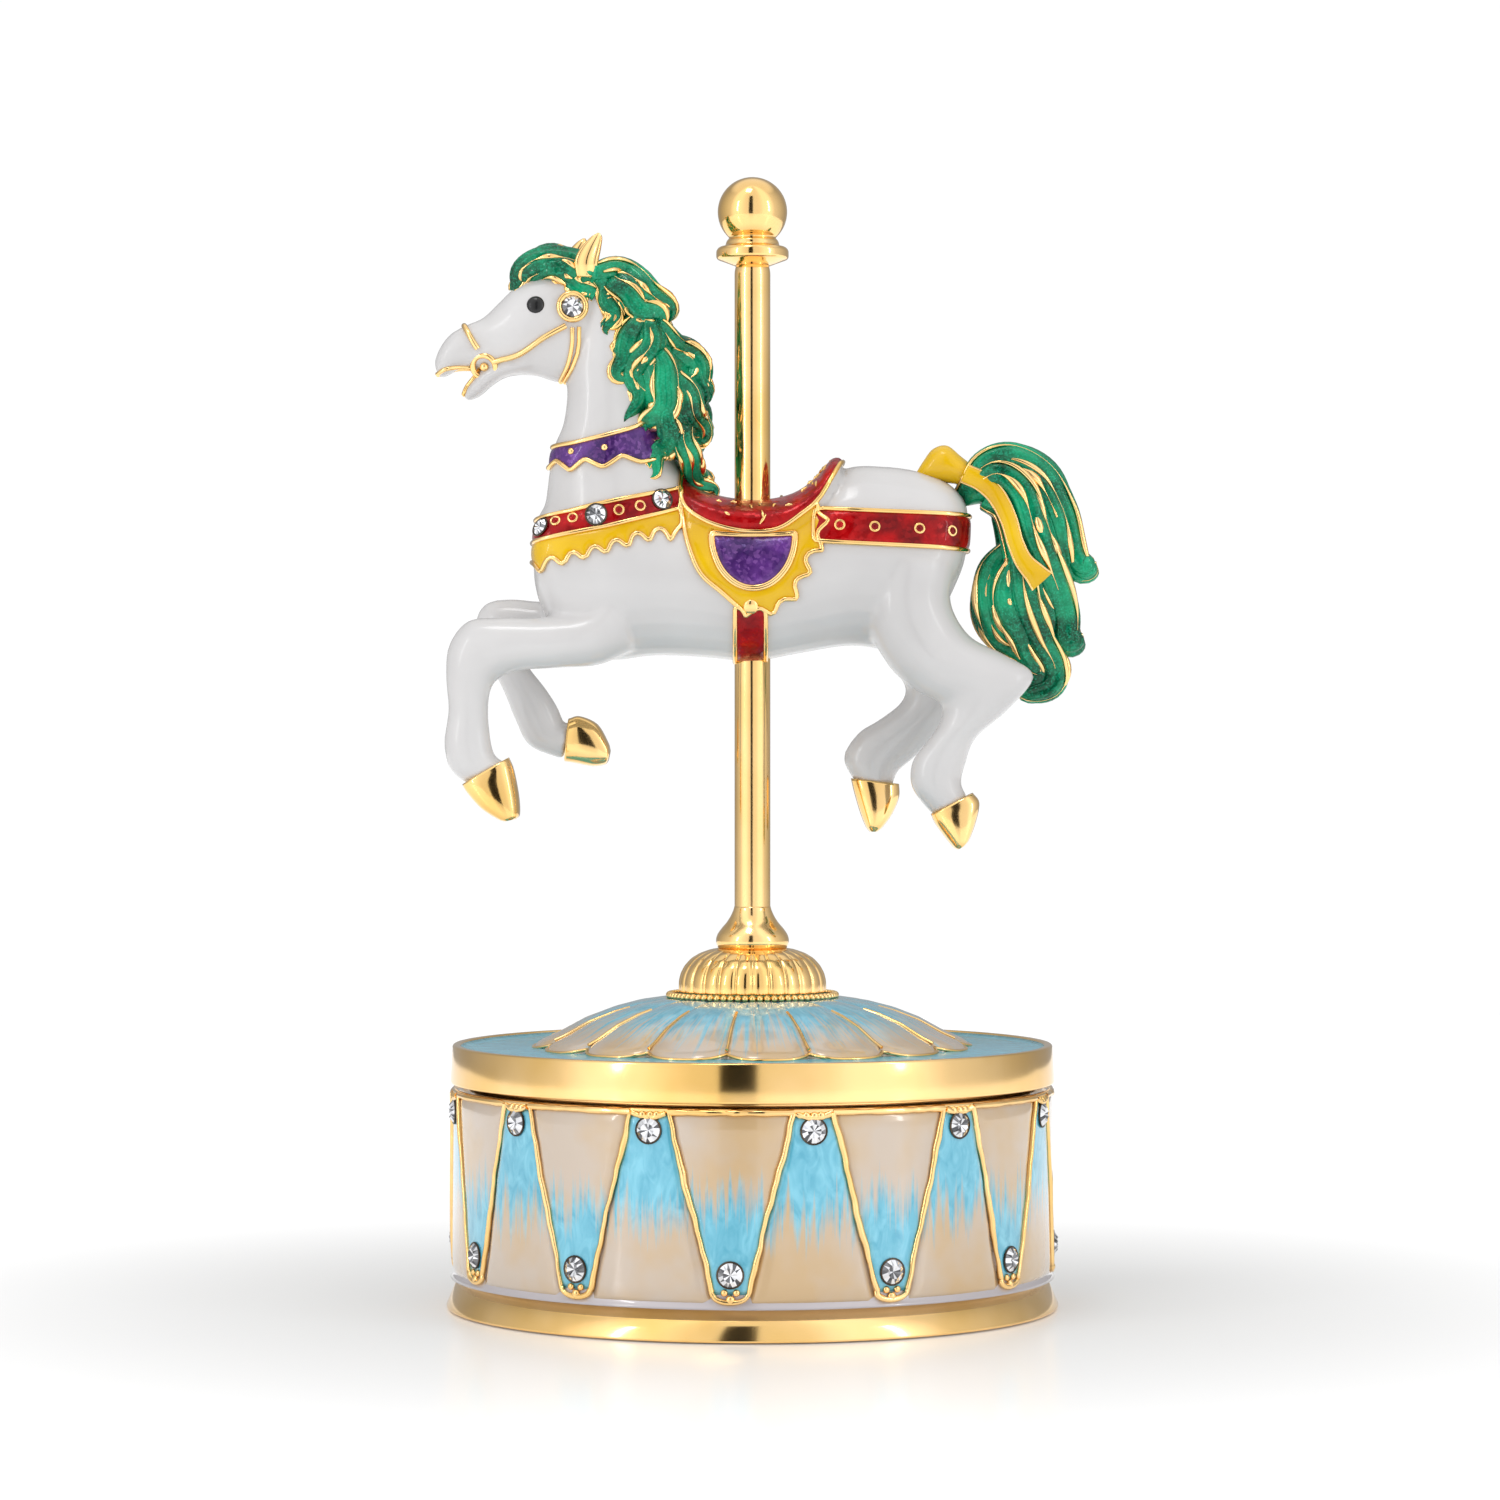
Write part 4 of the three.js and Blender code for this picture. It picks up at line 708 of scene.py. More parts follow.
# each lock: x, z and half width along its middle, as seen from the side
maneLocks = [
    [(-19.6, 36.6, 1.2), (-16.4, 36.5, 1.8), (-13, 34.6, 1.9), (-10.9, 32.4, 1.3), (-9.9, 31, 0.4)],
    [(-18.9, 36, 0.9), (-17.6, 33.6, 1.2), (-17.2, 31, 0.9), (-17.5, 28.8, 0.3)],
    [(-17.4, 35.4, 1), (-14.6, 33, 1.4), (-12.2, 31.4, 1.2), (-10.4, 29.9, 0.4)],
    [(-13.6, 31.6, 1), (-14.6, 29, 1.7), (-16, 26.4, 1.5), (-16.2, 24.4, 0.9), (-15.5, 23, 0.3)],
    [(-12.4, 30.4, 1), (-12.6, 27.6, 1.6), (-14.2, 24.4, 1.6), (-14.3, 21.4, 1.2), (-15.1, 18, 0.3)],
    [(-11.6, 30.2, 0.9), (-9.4, 27.8, 1.6), (-7.4, 25.6, 1.8), (-6.3, 23, 1.4), (-6.5, 20.6, 0.4)],
    [(-11.4, 26.6, 1), (-10.3, 23.4, 1.7), (-10.8, 20.4, 1.6), (-12.4, 18, 1.1), (-13.6, 16.8, 0.3)],
    [(-9.6, 24, 1), (-8.1, 21.4, 1.6), (-6.9, 18.8, 1.6), (-6.5, 16.6, 1), (-7.4, 14.8, 0.3)],
    [(-10.2, 19.6, 1), (-10.2, 16.6, 1.5), (-11.4, 13.8, 1.1), (-12.7, 11.4, 0.25)],
    [(-8.2, 17.6, 1), (-8.1, 14.8, 1.4), (-7.2, 12.2, 1.2), (-5.6, 10.4, 0.8), (-4.3, 9.2, 0.25)]]
foreLocks = [
    [(-18.8, 36.6, 1.1), (-21.6, 37.9, 1.5), (-25, 38.4, 1.7), (-28, 36.8, 1.3), (-29.5, 34.6, 0.5)],
    [(-18.6, 34.8, 1), (-21, 35.8, 1.3), (-23.8, 36.8, 1.3), (-26.6, 36.6, 1), (-28.4, 35.2, 0.4)],
    [(-19.2, 33.8, 0.9), (-20.7, 34.4, 1.1), (-22.6, 35.4, 0.9), (-24.2, 36.2, 0.3)]]
tailLocks = [
    [(26, 9.6, 1.2), (28.4, 13, 1.6), (31.8, 13.8, 2), (35.4, 11.8, 2.1), (37.6, 7.6, 2), (38.9, 3.4, 1.8),
     (40.4, 0.7, 1.6), (42.1, 1.3, 1.4)],
    [(27, 10.6, 1), (30, 11.8, 1.7), (33, 9.4, 2), (34.8, 4.4, 2), (36.6, -0.4, 1.9), (38, -5, 1.8),
     (38.6, -8.4, 1.6), (40.5, -7.6, 1.5)],
    [(28.4, 8.8, 1), (31, 7.4, 1.6), (32.4, 2.4, 1.8), (33.4, -3, 1.9), (35.2, -7.8, 1.8), (36.8, -11.4, 1.6),
     (36.4, -13.9, 1.5), (33, -15.4, 1.2)],
    [(31.6, 3.4, 0.9), (29.2, 0.2, 1.4), (28.6, -3.8, 1.6), (30.2, -7.6, 1.5), (33, -10.2, 1.3),
     (35, -12.6, 0.8)],
    [(32.6, 2.6, 0.8), (31, -1.4, 1.4), (31.4, -5.4, 1.6), (33.2, -9, 1.3), (35, -11.6, 0.8)]]


def sideNormal(path):
    along = np.gradient(path[:, :2], axis=0)
    along /= np.maximum(np.linalg.norm(along, axis=1), 1e-6)[:, None]
    return np.c_[-along[:, 1], along[:, 0]]


def spawnLocks(locks, random, steps, spread, wave):
    # every listed lock is waved a little, and two thinner ones curl away from it
    paths = []
    for lock in locks:
        path = catmull(lock, steps)
        t = np.linspace(0, 1, len(path))
        path[:, :2] += sideNormal(path) * (wave * np.sin(12 * t + random.uniform(0, 6)) * np.sqrt(t))[:, None]
        paths.append(path)
        for turn in (-1, 1):
            first = int(len(path) * random.uniform(0.08, 0.3))
            last = int(len(path) * random.uniform(0.62, 0.92))
            strand = path[first:last].copy()
            t = np.linspace(0, 1, len(strand))
            width = path[:, 2].max()
            bend = turn * width * (0.3 + spread * random.uniform(0.4, 0.9) * t ** 1.6)
            strand[:, :2] += sideNormal(strand) * bend[:, None]
            strand[:, 2] = 0.16 + width * 0.5 * np.sin(math.pi * np.clip(t * 0.92 + 0.06, 0, 1)) ** 0.8
            paths.append(strand)
    return paths


def hairLock(path, side, tree, settings):
    # a tapering strand laid on the surface that the tree holds, with its two edge lines and its ridge
    xs, zs, widths = path[:, 0] + poleX, path[:, 1] + horseMid, np.maximum(path[:, 2], 0.12)
    ys, lastY = [], None
    for x, z in zip(xs, zs):
        hit = tree.ray_cast(Vector((x, side * rayStart, z)), Vector((0, -side, 0)))[0]
        if hit is not None and side * hit.y > -1:
            lastY = hit.y
        elif lastY is not None:
            lastY *= 0.85
        ys.append(lastY)
    ys = np.array([0.0 if y is None else y for y in ys])
    for _ in range(6):
        ys[1:-1] = 0.5 * ys[1:-1] + 0.25 * (ys[:-2] + ys[2:])
    centre = np.c_[xs, ys - side * settings["sink"], zs]
    along = np.gradient(centre, axis=0)
    along /= np.linalg.norm(along, axis=1)[:, None]
    outward = np.tile([0.0, side, 0.0], (len(xs), 1))
    across = np.cross(along, outward)
    across /= np.maximum(np.linalg.norm(across, axis=1), 1e-6)[:, None]
    outward = np.cross(across, along)
    tip = np.clip((np.linspace(0, 1, len(xs)) - (1 - settings["tip"])) / settings["tip"], 0, 0.99)
    widths = widths * np.sqrt(1 - tip ** 2)
    lift = settings["thick"] * (0.2 + 0.8 * np.minimum(widths, 1.6))
    angles = np.linspace(0, 2 * math.pi, settings["sides"], endpoint=False)
    ribs = 1 + settings["rib"] * np.cos(settings["ribs"] * angles)
    rings = [[c + (n * w * math.cos(a) + o * h * math.sin(a)) * rib for a, rib in zip(angles, ribs)]
             for c, n, o, w, h in zip(centre, across, outward, widths, lift)]
    edges = [centre + across * (turn * widths * settings["edge"])[:, None] +
             outward * (lift * settings["edgeLift"])[:, None] for turn in (-1, 1)]
    return ringsToMesh(rings), edges, centre + outward * lift[:, None]


def strandWidths(count, random):
    # gold that swells and thins along a ridge and dies away at both ends
    t = np.linspace(0, 1, count)
    swell = 0.55 + 0.6 * np.sin(random.uniform(9, 18) * t + random.uniform(0, 6))
    fade = np.sin(math.pi * np.clip(0.04 + 0.93 * t, 0, 1)) ** 0.45
    return np.clip(fade * swell * random.uniform(0.8, 1.25) * (0.85 + 0.4 * t), 0.1, 1.4)


def buildHair():
    s = hairSettings
    green = enamels["greenEnamel"]
    random = np.random.default_rng(s["seed"])
    # with each set of locks: how far its side strands spread, and how much it waves
    for name, nodes, cores, lockSets in [
        ("mane_hair", ["mane"], [maneCore, foreCore], [(maneLocks, 0.35, 0.6), (foreLocks, 0.2, 0.35)]),
        ("tail_hair", ["tail"], [tailCore], [(tailLocks, 0.35, 0.3)]),
    ]:
        core = remeshed(name + "_core", [ovalLoft(c, 24, 5) for c in cores], s["core"], 4, green)
        settle(core, "carousel", "green_enamel", *nodes)
        coreVerts, _, coreTris = meshArrays(core)
        everything = np.vstack([coreVerts / mm, bodyVerts])
        tris = [tuple(x) for x in coreTris] + [tuple(x + len(coreVerts)) for x in bodyTris]
        tree = BVHTree.FromPolygons([Vector(p) for p in everything], tris)
        strands, lines, widths = [], [], []
        for side in (-1, 1):
            paths = [path for locks, spread, wave in lockSets
                     for path in spawnLocks(locks, random, s["steps"], spread, wave)]
            for path in paths:
                body, edges, ridge = hairLock(path, side, tree, s)
                strands.append(body)
                last = max(6, int(len(ridge) * random.uniform(0.5, 0.8)))
                for line, share in ((edges[0], 0.95), (edges[1], 0.75), (ridge[2:last], 0.4)):
                    if random.random() < share:
                        lines.append(line)
                        widths.append(strandWidths(len(line), random))
        settle(makePiece(name, *joinRaw(strands), green), "carousel", "green_enamel")
        settle(wirePiece(name + "_wires", lines, s["wire"], goldMaterial, widths), "carousel", "gold")


buildHair()
print("hair ready")

bowSettings = {
    "loop": [(19.9, 11.9, 20.1, 11.3, 0.6, 0), (21, 13.7, 21.2, 11.2, 1.5, 0),
             (22.2, 15.2, 22.5, 11.1, 2.1, 0),
             (23.9, 15.6, 23.9, 11, 2.4, 0), (25.6, 14.3, 25.1, 10.8, 2.4, 0),
             (27.2, 13, 26.6, 10.3, 2.0, 0)],
    "ribbon": [(26, 12, 1.15, 0.0), (28, 11, 1.15, 0.3), (29.8, 9.2, 1.1, 0.7), (31.2, 6.4, 1.0, 1.0),
               (32, 3.6, 0.95, 1.2), (33, 1.3, 1.05, 1.3), (34.4, -0.3, 1.3, 1.35), (35.3, -1.3, 1.6, 1.3)],
    "thickness": 0.5, "standOff": 2.5, "follow": 1.6, "wire": 0.14, "edge": 0.97, "edgeLift": 0.15,
}


def buildBow():
    s = bowSettings
    yellow = enamels["yellowEnamel"]
    angles = np.linspace(0, 2 * math.pi, 24, endpoint=False)
    parts, lines = [ovalLoft(s["loop"], 24, 6)], []
    path = catmull(s["ribbon"], 8)
    for side in (-1, 1):
        out = side * (s["standOff"] + path[:, 3] * s["follow"])
        centre = np.c_[path[:, 0] + poleX, out, path[:, 1] + horseMid]
        along = np.gradient(centre, axis=0)
        along /= np.linalg.norm(along, axis=1)[:, None]
        across = np.cross(along, [0, side, 0])
        across /= np.linalg.norm(across, axis=1)[:, None]
        outward = np.cross(across, along)
        parts.append(ringsToMesh([[c + n * w * math.cos(a) + o * s["thickness"] * math.sin(a) for a in angles]
                                  for c, n, o, w in zip(centre, across, outward, path[:, 2])]))
        for edge in (-1, 1):
            lines.append(centre + across * (path[:, 2] * edge * s["edge"])[:, None] + outward * s["edgeLift"])
    settle(makePiece("tail_ribbon", *joinRaw(parts), yellow), "carousel", "yellow_enamel", "tail_bow")
    settle(wirePiece("ribbon_wires", lines, s["wire"], goldMaterial), "carousel", "gold")


buildBow()


def castOnHorse(x, z, side):
    # where a sideways ray meets the casting, and the normal there
    start = Vector((x + poleX, side * rayStart, z + horseMid))
    return bodyTree.ray_cast(start, Vector((0, -side, 0)))[:2]


def surfacePoint(x, z, side, lift):
    hit, normal = castOnHorse(x, z, side)
    return np.array(hit) + np.array(normal) * lift, np.array(normal)


def surfaceLine(points, side, lift):
    # a line over the casting; points that miss the casting are left out
    found = []
    for x, z in catmull(points, 8):
        hit, normal = castOnHorse(x, z, side)
        if hit is not None:
            found.append(np.array(hit) + np.array(normal) * lift)
    return np.array(found)


blackLook = {"dark": (0.003, 0.003, 0.003), "light": (0.008, 0.008, 0.009), "rough": 0.3, "coat": 0.3}
blackMaterial = makeEnamel("blackGlaze", blackLook)
bridleSettings = {
    "noseband": [(-35.6, 30.6), (-35, 29.6), (-34.2, 28.2), (-33.6, 27.3)],
    "cheek": [(-31.7, 25.7), (-28.5, 26.6), (-25.4, 28.6), (-22.8, 30)],
    "throat": [(-22, 29.8), (-22.1, 27.6), (-22.7, 25.2), (-23.9, 23)],
    "throatBack": [(-21.2, 29.9), (-21.3, 27.4), (-22, 25), (-23.4, 23)],
    "lipTop": [(-38.9, 24.2), (-37.6, 24.9), (-36, 25.2), (-34.4, 25.2)],
    "lipBottom": [(-33.4, 25), (-34, 23.9), (-34.9, 22.8), (-35.4, 21.7)],
    "bit": (-32.8, 25.2), "rosette": (-22, 32.3), "eye": (-26.5, 32.6),
    "bitRadius": 1.45, "rosetteRadius": 1.65, "eyeRadius": 1.12, "bossRadius": 0.55, "bossHeight": 0.5,
    "strapLift": 0.2, "cordLift": 0.12, "strapWire": 0.36, "cordWire": 0.27,
}


def discFrame(normal):
    # two directions across a disc, and its unit normal
    normal = normal / np.linalg.norm(normal)
    a = np.cross(normal, [0.3, 0.1, 1.0])
    a /= np.linalg.norm(a)
    return a, np.cross(normal, a), normal


def ringAround(centre, normal, radius, count=28):
    a, b, _ = discFrame(normal)
    turns = np.linspace(0, 2 * math.pi, count + 1)
    return np.array([centre + radius * (a * math.cos(t) + b * math.sin(t)) for t in turns])


def domeMesh(centre, normal, radius, height, rings=6, sides=24):
    # a bead or boss: a short foot that sinks into the surface, then a domed top
    a, b, normal = discFrame(normal)
    lifts = [math.pi / 2 * k / rings for k in range(rings)]
    profile = [(-0.4 * radius, 0.9 * radius)] + [(height * math.sin(t), radius * math.cos(t)) for t in lifts]
    profile.append((height, 0.02 * radius))
    turns = np.linspace(0, 2 * math.pi, sides, endpoint=False)
    return ringsToMesh([[centre + normal * rise + reach * (a * math.cos(t) + b * math.sin(t)) for t in turns]
                        for rise, reach in profile])


def buildBridle():
    s = bridleSettings
    thick, thin, beads, eyes = [], [], [], []
    for side in (-1, 1):
        thick.append(surfaceLine(s["cheek"], side, s["strapLift"]))
        for name in ("throat", "throatBack", "lipTop", "lipBottom"):
            thin.append(surfaceLine(s[name], side, s["cordLift"]))
        bit, bitNormal = surfacePoint(*s["bit"], side, 0.25)
        thick.append(ringAround(bit, bitNormal, s["bitRadius"]))
        beads.append(domeMesh(bit, bitNormal, s["bossRadius"], s["bossHeight"]))
        rosette, rosetteNormal = surfacePoint(*s["rosette"], side, 0.35)
        thick.append(ringAround(rosette, rosetteNormal, s["rosetteRadius"]))
        eye, eyeNormal = surfacePoint(*s["eye"], side, -0.15)
        eyes.append(domeMesh(eye, eyeNormal, s["eyeRadius"], s["bossHeight"]))
    # the noseband is one wire that crosses over the nose
    halves = [surfaceLine(s["noseband"], side, s["cordLift"]) for side in (-1, 1)]
    thick.append(np.vstack([halves[0][::-1], halves[1]]))
    settle(wirePiece("bridle_straps", thick, s["strapWire"], goldMaterial), "carousel", "gold", "bridle")
    settle(wirePiece("bridle_cords", thin, s["cordWire"], goldMaterial), "carousel", "gold")
    settle(makePiece("bridle_bosses", *joinRaw(beads), goldMaterial), "carousel", "gold")
    settle(makePiece("eyes", *joinRaw(eyes), blackMaterial), "carousel", "white_enamel")


def buildEars():
    for name, side in (("ear_near", -1), ("ear_far", 1)):
        lean = 0.0 if side < 0 else -2.0
        rows = catmull([(-20.2 + lean, 36, 1.35, 1.0, 2.9), (-20.3 + lean, 37.8, 1.5, 1.15, 3.2),
                        (-19.8 + lean, 39.4, 1.3, 1.0, 3.2), (-19.1 + lean, 40.8, 0.75, 0.6, 3.1),
                        (-18.8 + lean, 41.4, 0.15, 0.15, 3.0)], 7)
        angles = np.linspace(0, 2 * math.pi, 24, endpoint=False)
        rings = []
        for x, z, half, depth, out in rows:
            # the inner face of the ear is hollowed
            cup = 1 - 0.8 * np.clip(np.sin(angles), 0, 1) ** 3
            rings.append(np.c_[x + poleX + half * np.cos(angles), side * (out + depth * np.sin(angles) * cup),
                               np.full(24, z + horseMid)])
        verts, faces = ringsToMesh(rings)
        settle(makePiece(name + "_gilt", verts, faces, goldMaterial), "carousel", "gold", name)


# each hoof: stations of front edge, back edge, half thickness, as on the legs
hoofShape = {
    "hoof_front_near": [(-35.3, -26, -29.6, -22.7, 2.5, -5.4), (-34.7, -27, -29, -24.2, 2.75, -5.4),
                        (-33, -28.9, -28.4, -27.3, 2.8, -5.4), (-31, -30.2, -28.3, -29.6, 2.6, -5.4),
                        (-30.2, -30.5, -28.8, -30.2, 2.2, -5.4)],
    "hoof_front_far": [(-23.3, -23.2, -22.8, -17.9, 2.5, 5.4), (-22, -23.4, -21.4, -17.6, 2.75, 5.4),
                       (-19.8, -23.8, -19.2, -18.6, 2.8, 5.4), (-18.3, -23.6, -17.9, -20.8, 2.6, 5.4),
                       (-17.9, -23.2, -17.6, -21.8, 2.2, 5.4)],
    "hoof_hind_near": [(21.7, -29.6, 26.8, -27, 2.5, -5.4), (22.2, -30.7, 27.6, -28.2, 2.75, -5.4),
                       (23.4, -32.4, 27.2, -30.4, 2.8, -5.4), (24.4, -33.6, 26.4, -32.6, 2.6, -5.4),
                       (24.9, -33.9, 25.8, -33.4, 2.2, -5.4)],
    "hoof_hind_far": [(12.2, -25.3, 18.2, -26, 2.5, 5.4), (12.6, -27, 18.2, -27.6, 2.75, 5.4),
                      (13.3, -29.4, 17.4, -29.6, 2.8, 5.4), (14, -31.2, 16.2, -31.3, 2.6, 5.4),
                      (14.5, -31.9, 15.5, -31.9, 2.2, 5.4)],
}


def buildHooves():
    for name, stations in hoofShape.items():
        rows = catmull(stations, 5)
        angles = np.linspace(0, 2 * math.pi, 32, endpoint=False)
        # squarer than a leg, so the hoof reads as a block with a flat sole
        cosine = np.sign(np.cos(angles)) * np.abs(np.cos(angles)) ** 0.7
        sine = np.sign(np.sin(angles)) * np.abs(np.sin(angles)) ** 0.7
        rings = [np.c_[(ax + bx) / 2 + (ax - bx) / 2 * cosine + poleX, side + half * sine,
                       (az + bz) / 2 + (az - bz) / 2 * cosine + horseMid]
                 for ax, az, bx, bz, half, side in rows]
        verts, faces = ringsToMesh(rings)
        settle(makePiece(name + "_gilt", verts, faces, goldMaterial), "carousel", "gold", name)


buildBridle()
buildEars()
buildHooves()
print("head and hooves ready")

# facet colours: bright is the foil's own metal colour, the dark one is a painted dark reflection laid on some
# facets
stoneLook = {"rough": 0.04, "darkReflection": (0.02, 0.022, 0.03), "bright": (0.95, 0.96, 1.0)}
bezelLook = {"dark": (0.03, 0.025, 0.02), "light": (0.10, 0.08, 0.06), "rough": 0.25, "scale": 300.0}


def makeStoneMaterial():
    material, tree, shader = newMaterial("foiledStone")
    # base colour follows each facet's painted reflection value: near-black painted dark reflections, bright
    # foil elsewhere
    paintedReflection = addNode(tree, "ShaderNodeAttribute", attribute_name="paintedFacetReflection")
    colour = colourRamp(tree, paintedReflection.outputs["Fac"], [(0.0, stoneLook["darkReflection"]), (1.0, stoneLook["bright"])])
    tree.links.new(colour, shader.inputs["Base Color"])
    shader.inputs["Metallic"].default_value = 0.85
    shader.inputs["Roughness"].default_value = stoneLook["rough"]
    shader.inputs["Coat Weight"].default_value = 1.0
    shader.inputs["Coat Roughness"].default_value = 0.02
    return material


stoneMaterial = makeStoneMaterial()
bezelMaterial = makeGold("bezelMetal", bezelLook)


def frameFor(normal):
    normal = normal / np.linalg.norm(normal)
    a = np.cross([0.0, 0.0, 1.0], normal)
    if np.linalg.norm(a) < 0.1:
        a = np.cross([1.0, 0.0, 0.0], normal)
    a /= np.linalg.norm(a)
    return a, np.cross(normal, a), normal


def stoneMesh(centre, normal, radius, points=8):
    # a foiled stone: its cone of back facets seen through the table, inside a ring of crown facets
    a, b, n = frameFor(normal)
    place = lambda r, t, h: centre + radius * (r * (a * math.cos(t) + b * math.sin(t)) + h * n)
    step = math.pi / points
    centreTop = place(0, 0, 0.10)
    table = [place(0.56, k * step, 0.42 if k % 2 else 0.34) for k in range(2 * points)]
    girdle = [place(1.0, (k + 0.5) * step, 0.08) for k in range(2 * points)]
    back = [place(0.9, (k + 0.5) * step, -0.5) for k in range(2 * points)]
    verts = [centreTop, *table, *girdle, *back, place(0, 0, -0.6)]
    count = 2 * points
    faces = []
    for k in range(count):
        nxt = (k + 1) % count
        faces.append((0, 1 + k, 1 + nxt))
        faces.append((1 + k, 1 + count + k, 1 + nxt))
        faces.append((1 + nxt, 1 + count + k, 1 + count + nxt))
        faces.append((1 + count + k, 1 + 2 * count + k, 1 + 2 * count + nxt, 1 + count + nxt))
        faces.append((1 + 2 * count + k, 1 + 3 * count, 1 + 2 * count + nxt))
    return verts, faces


def stonePiece(name, stones, body, slot, seed):
    # stones: centre, normal and radius of each
    verts, faces = joinRaw([stoneMesh(c, n, r) for c, n, r in stones])
    obj = makePiece(name, verts, faces, stoneMaterial, smooth=False)
    random = np.random.default_rng(seed)
    # painted reflection: about four facets in ten get a near-black value that stands in for dark reflections,
    # the rest are bright foil
    paintedReflection = obj.data.attributes.new("paintedFacetReflection", "FLOAT", "FACE")
    dark = random.random(len(obj.data.polygons)) < 0.4
    values = np.where(dark, random.uniform(0.0, 0.25, len(dark)), random.uniform(0.75, 1.0, len(dark)))
    paintedReflection.data.foreach_set("value", values.astype(np.float32))
    settle(obj, body, slot)
    bezels = [ringAround(c + n * 0.05, n, r * 1.04, 24) for c, n, r in stones]
    settle(wirePiece(name + "_bezels", bezels, 0.13, bezelMaterial), body, slot)


def nodeSpan(node):
    low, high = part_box(node)
    return low.z / mm, high.z / mm, (high.x - low.x) / 2 / mm


shellLow, shellHigh, footRadius = nodeSpan("drum_shell")
wallRadius = footRadius - 1.0
drumSettings = {
    "panels": 12, "firstAngle": -94.0, "topHalf": 11.4, "bottomHalf": 3.1, "stoneRadius": 1.45,
    "wire": 0.36, "wobble": 0.22, "lowEdge": shellLow + 4.8, "highEdge": shellHigh - 0.5, "wallThick": 1.5,
    "lowStone": shellLow + 7.1, "highStone": shellHigh - 2.6, "faceTilt": 0.25, "footBottom": 0.15,
}


streakLook = {"stretch": 45.0, "spread": 2.6, "softness": 0.55, "strokeTurn": 0.35, "strokeStretch": 260.0}


# brushed pigment: long streaks that run along one coordinate and break up its edge
def buildStreaks():
    group, gin, gout = newGroup(
        "brushStreaks",
        [("Along", "NodeSocketFloat", 0.0), ("Start", "NodeSocketFloat", 0.0),
         ("Reach", "NodeSocketFloat", 0.01), ("Fine", "NodeSocketFloat", 60.0)],
        [("Mask", "NodeSocketFloat"), ("Swirl", "NodeSocketFloat")],
    )
    links = group.links
    coord = addNode(group, "ShaderNodeTexCoord")
    split = addNode(group, "ShaderNodeSeparateXYZ")
    links.new(coord.outputs["Object"], split.inputs[0])
    angle = mathNode(group, "ARCTAN2", split.outputs["Y"], split.outputs["X"])
    across = mathNode(group, "MULTIPLY", angle, gin.outputs["Fine"])
    slow = mathNode(group, "MULTIPLY", gin.outputs["Along"], streakLook["stretch"])
    place = addNode(group, "ShaderNodeCombineXYZ")
    links.new(across, place.inputs["X"])
    links.new(slow, place.inputs["Y"])
    noise = addNode(group, "ShaderNodeTexNoise")
    noise.inputs["Scale"].default_value = 1.0
    noise.inputs["Detail"].default_value = 5.0
    noise.inputs["Roughness"].default_value = 0.65
    links.new(place.outputs[0], noise.inputs["Vector"])
    middle = mathNode(group, "SUBTRACT", noise.outputs["Fac"], 0.5)
    spread = mathNode(group, "MULTIPLY", middle, streakLook["spread"])
    shift = mathNode(group, "MULTIPLY", spread, gin.outputs["Reach"])
    past = mathNode(group, "SUBTRACT", gin.outputs["Along"], gin.outputs["Start"])
    level = mathNode(group, "ADD", past, shift)
    edge = mathNode(group, "MULTIPLY", gin.outputs["Reach"], streakLook["softness"])
    sharp = mathNode(group, "DIVIDE", level, edge)
    mask = mathNode(group, "ADD", sharp, 0.5, clamp=True)
    links.new(mask, gout.inputs["Mask"])
    swirl = addNode(group, "ShaderNodeTexNoise")
    swirl.inputs["Scale"].default_value = 1.0
    swirl.inputs["Detail"].default_value = 3.0
    swirl.inputs["Distortion"].default_value = 1.4
    stroke = addNode(group, "ShaderNodeCombineXYZ")
    turned = mathNode(group, "MULTIPLY", angle, streakLook["strokeTurn"])
    links.new(mathNode(group, "MULTIPLY", gin.outputs["Fine"], turned), stroke.inputs["X"])
    drawn = mathNode(group, "MULTIPLY", gin.outputs["Along"], streakLook["strokeStretch"])
    links.new(drawn, stroke.inputs["Y"])
    links.new(stroke.outputs[0], swirl.inputs["Vector"])
    links.new(swirl.outputs["Fac"], gout.inputs["Swirl"])
    return group


streakGroup = buildStreaks()
pearlLook = {
    "turquoiseDark": (0.06, 0.38, 0.54), "turquoiseLight": (0.19, 0.58, 0.74),
    "creamWarm": (0.58, 0.40, 0.21), "creamCool": (0.56, 0.46, 0.37), "lilac": (0.50, 0.46, 0.48),
    "rough": 0.2,
}


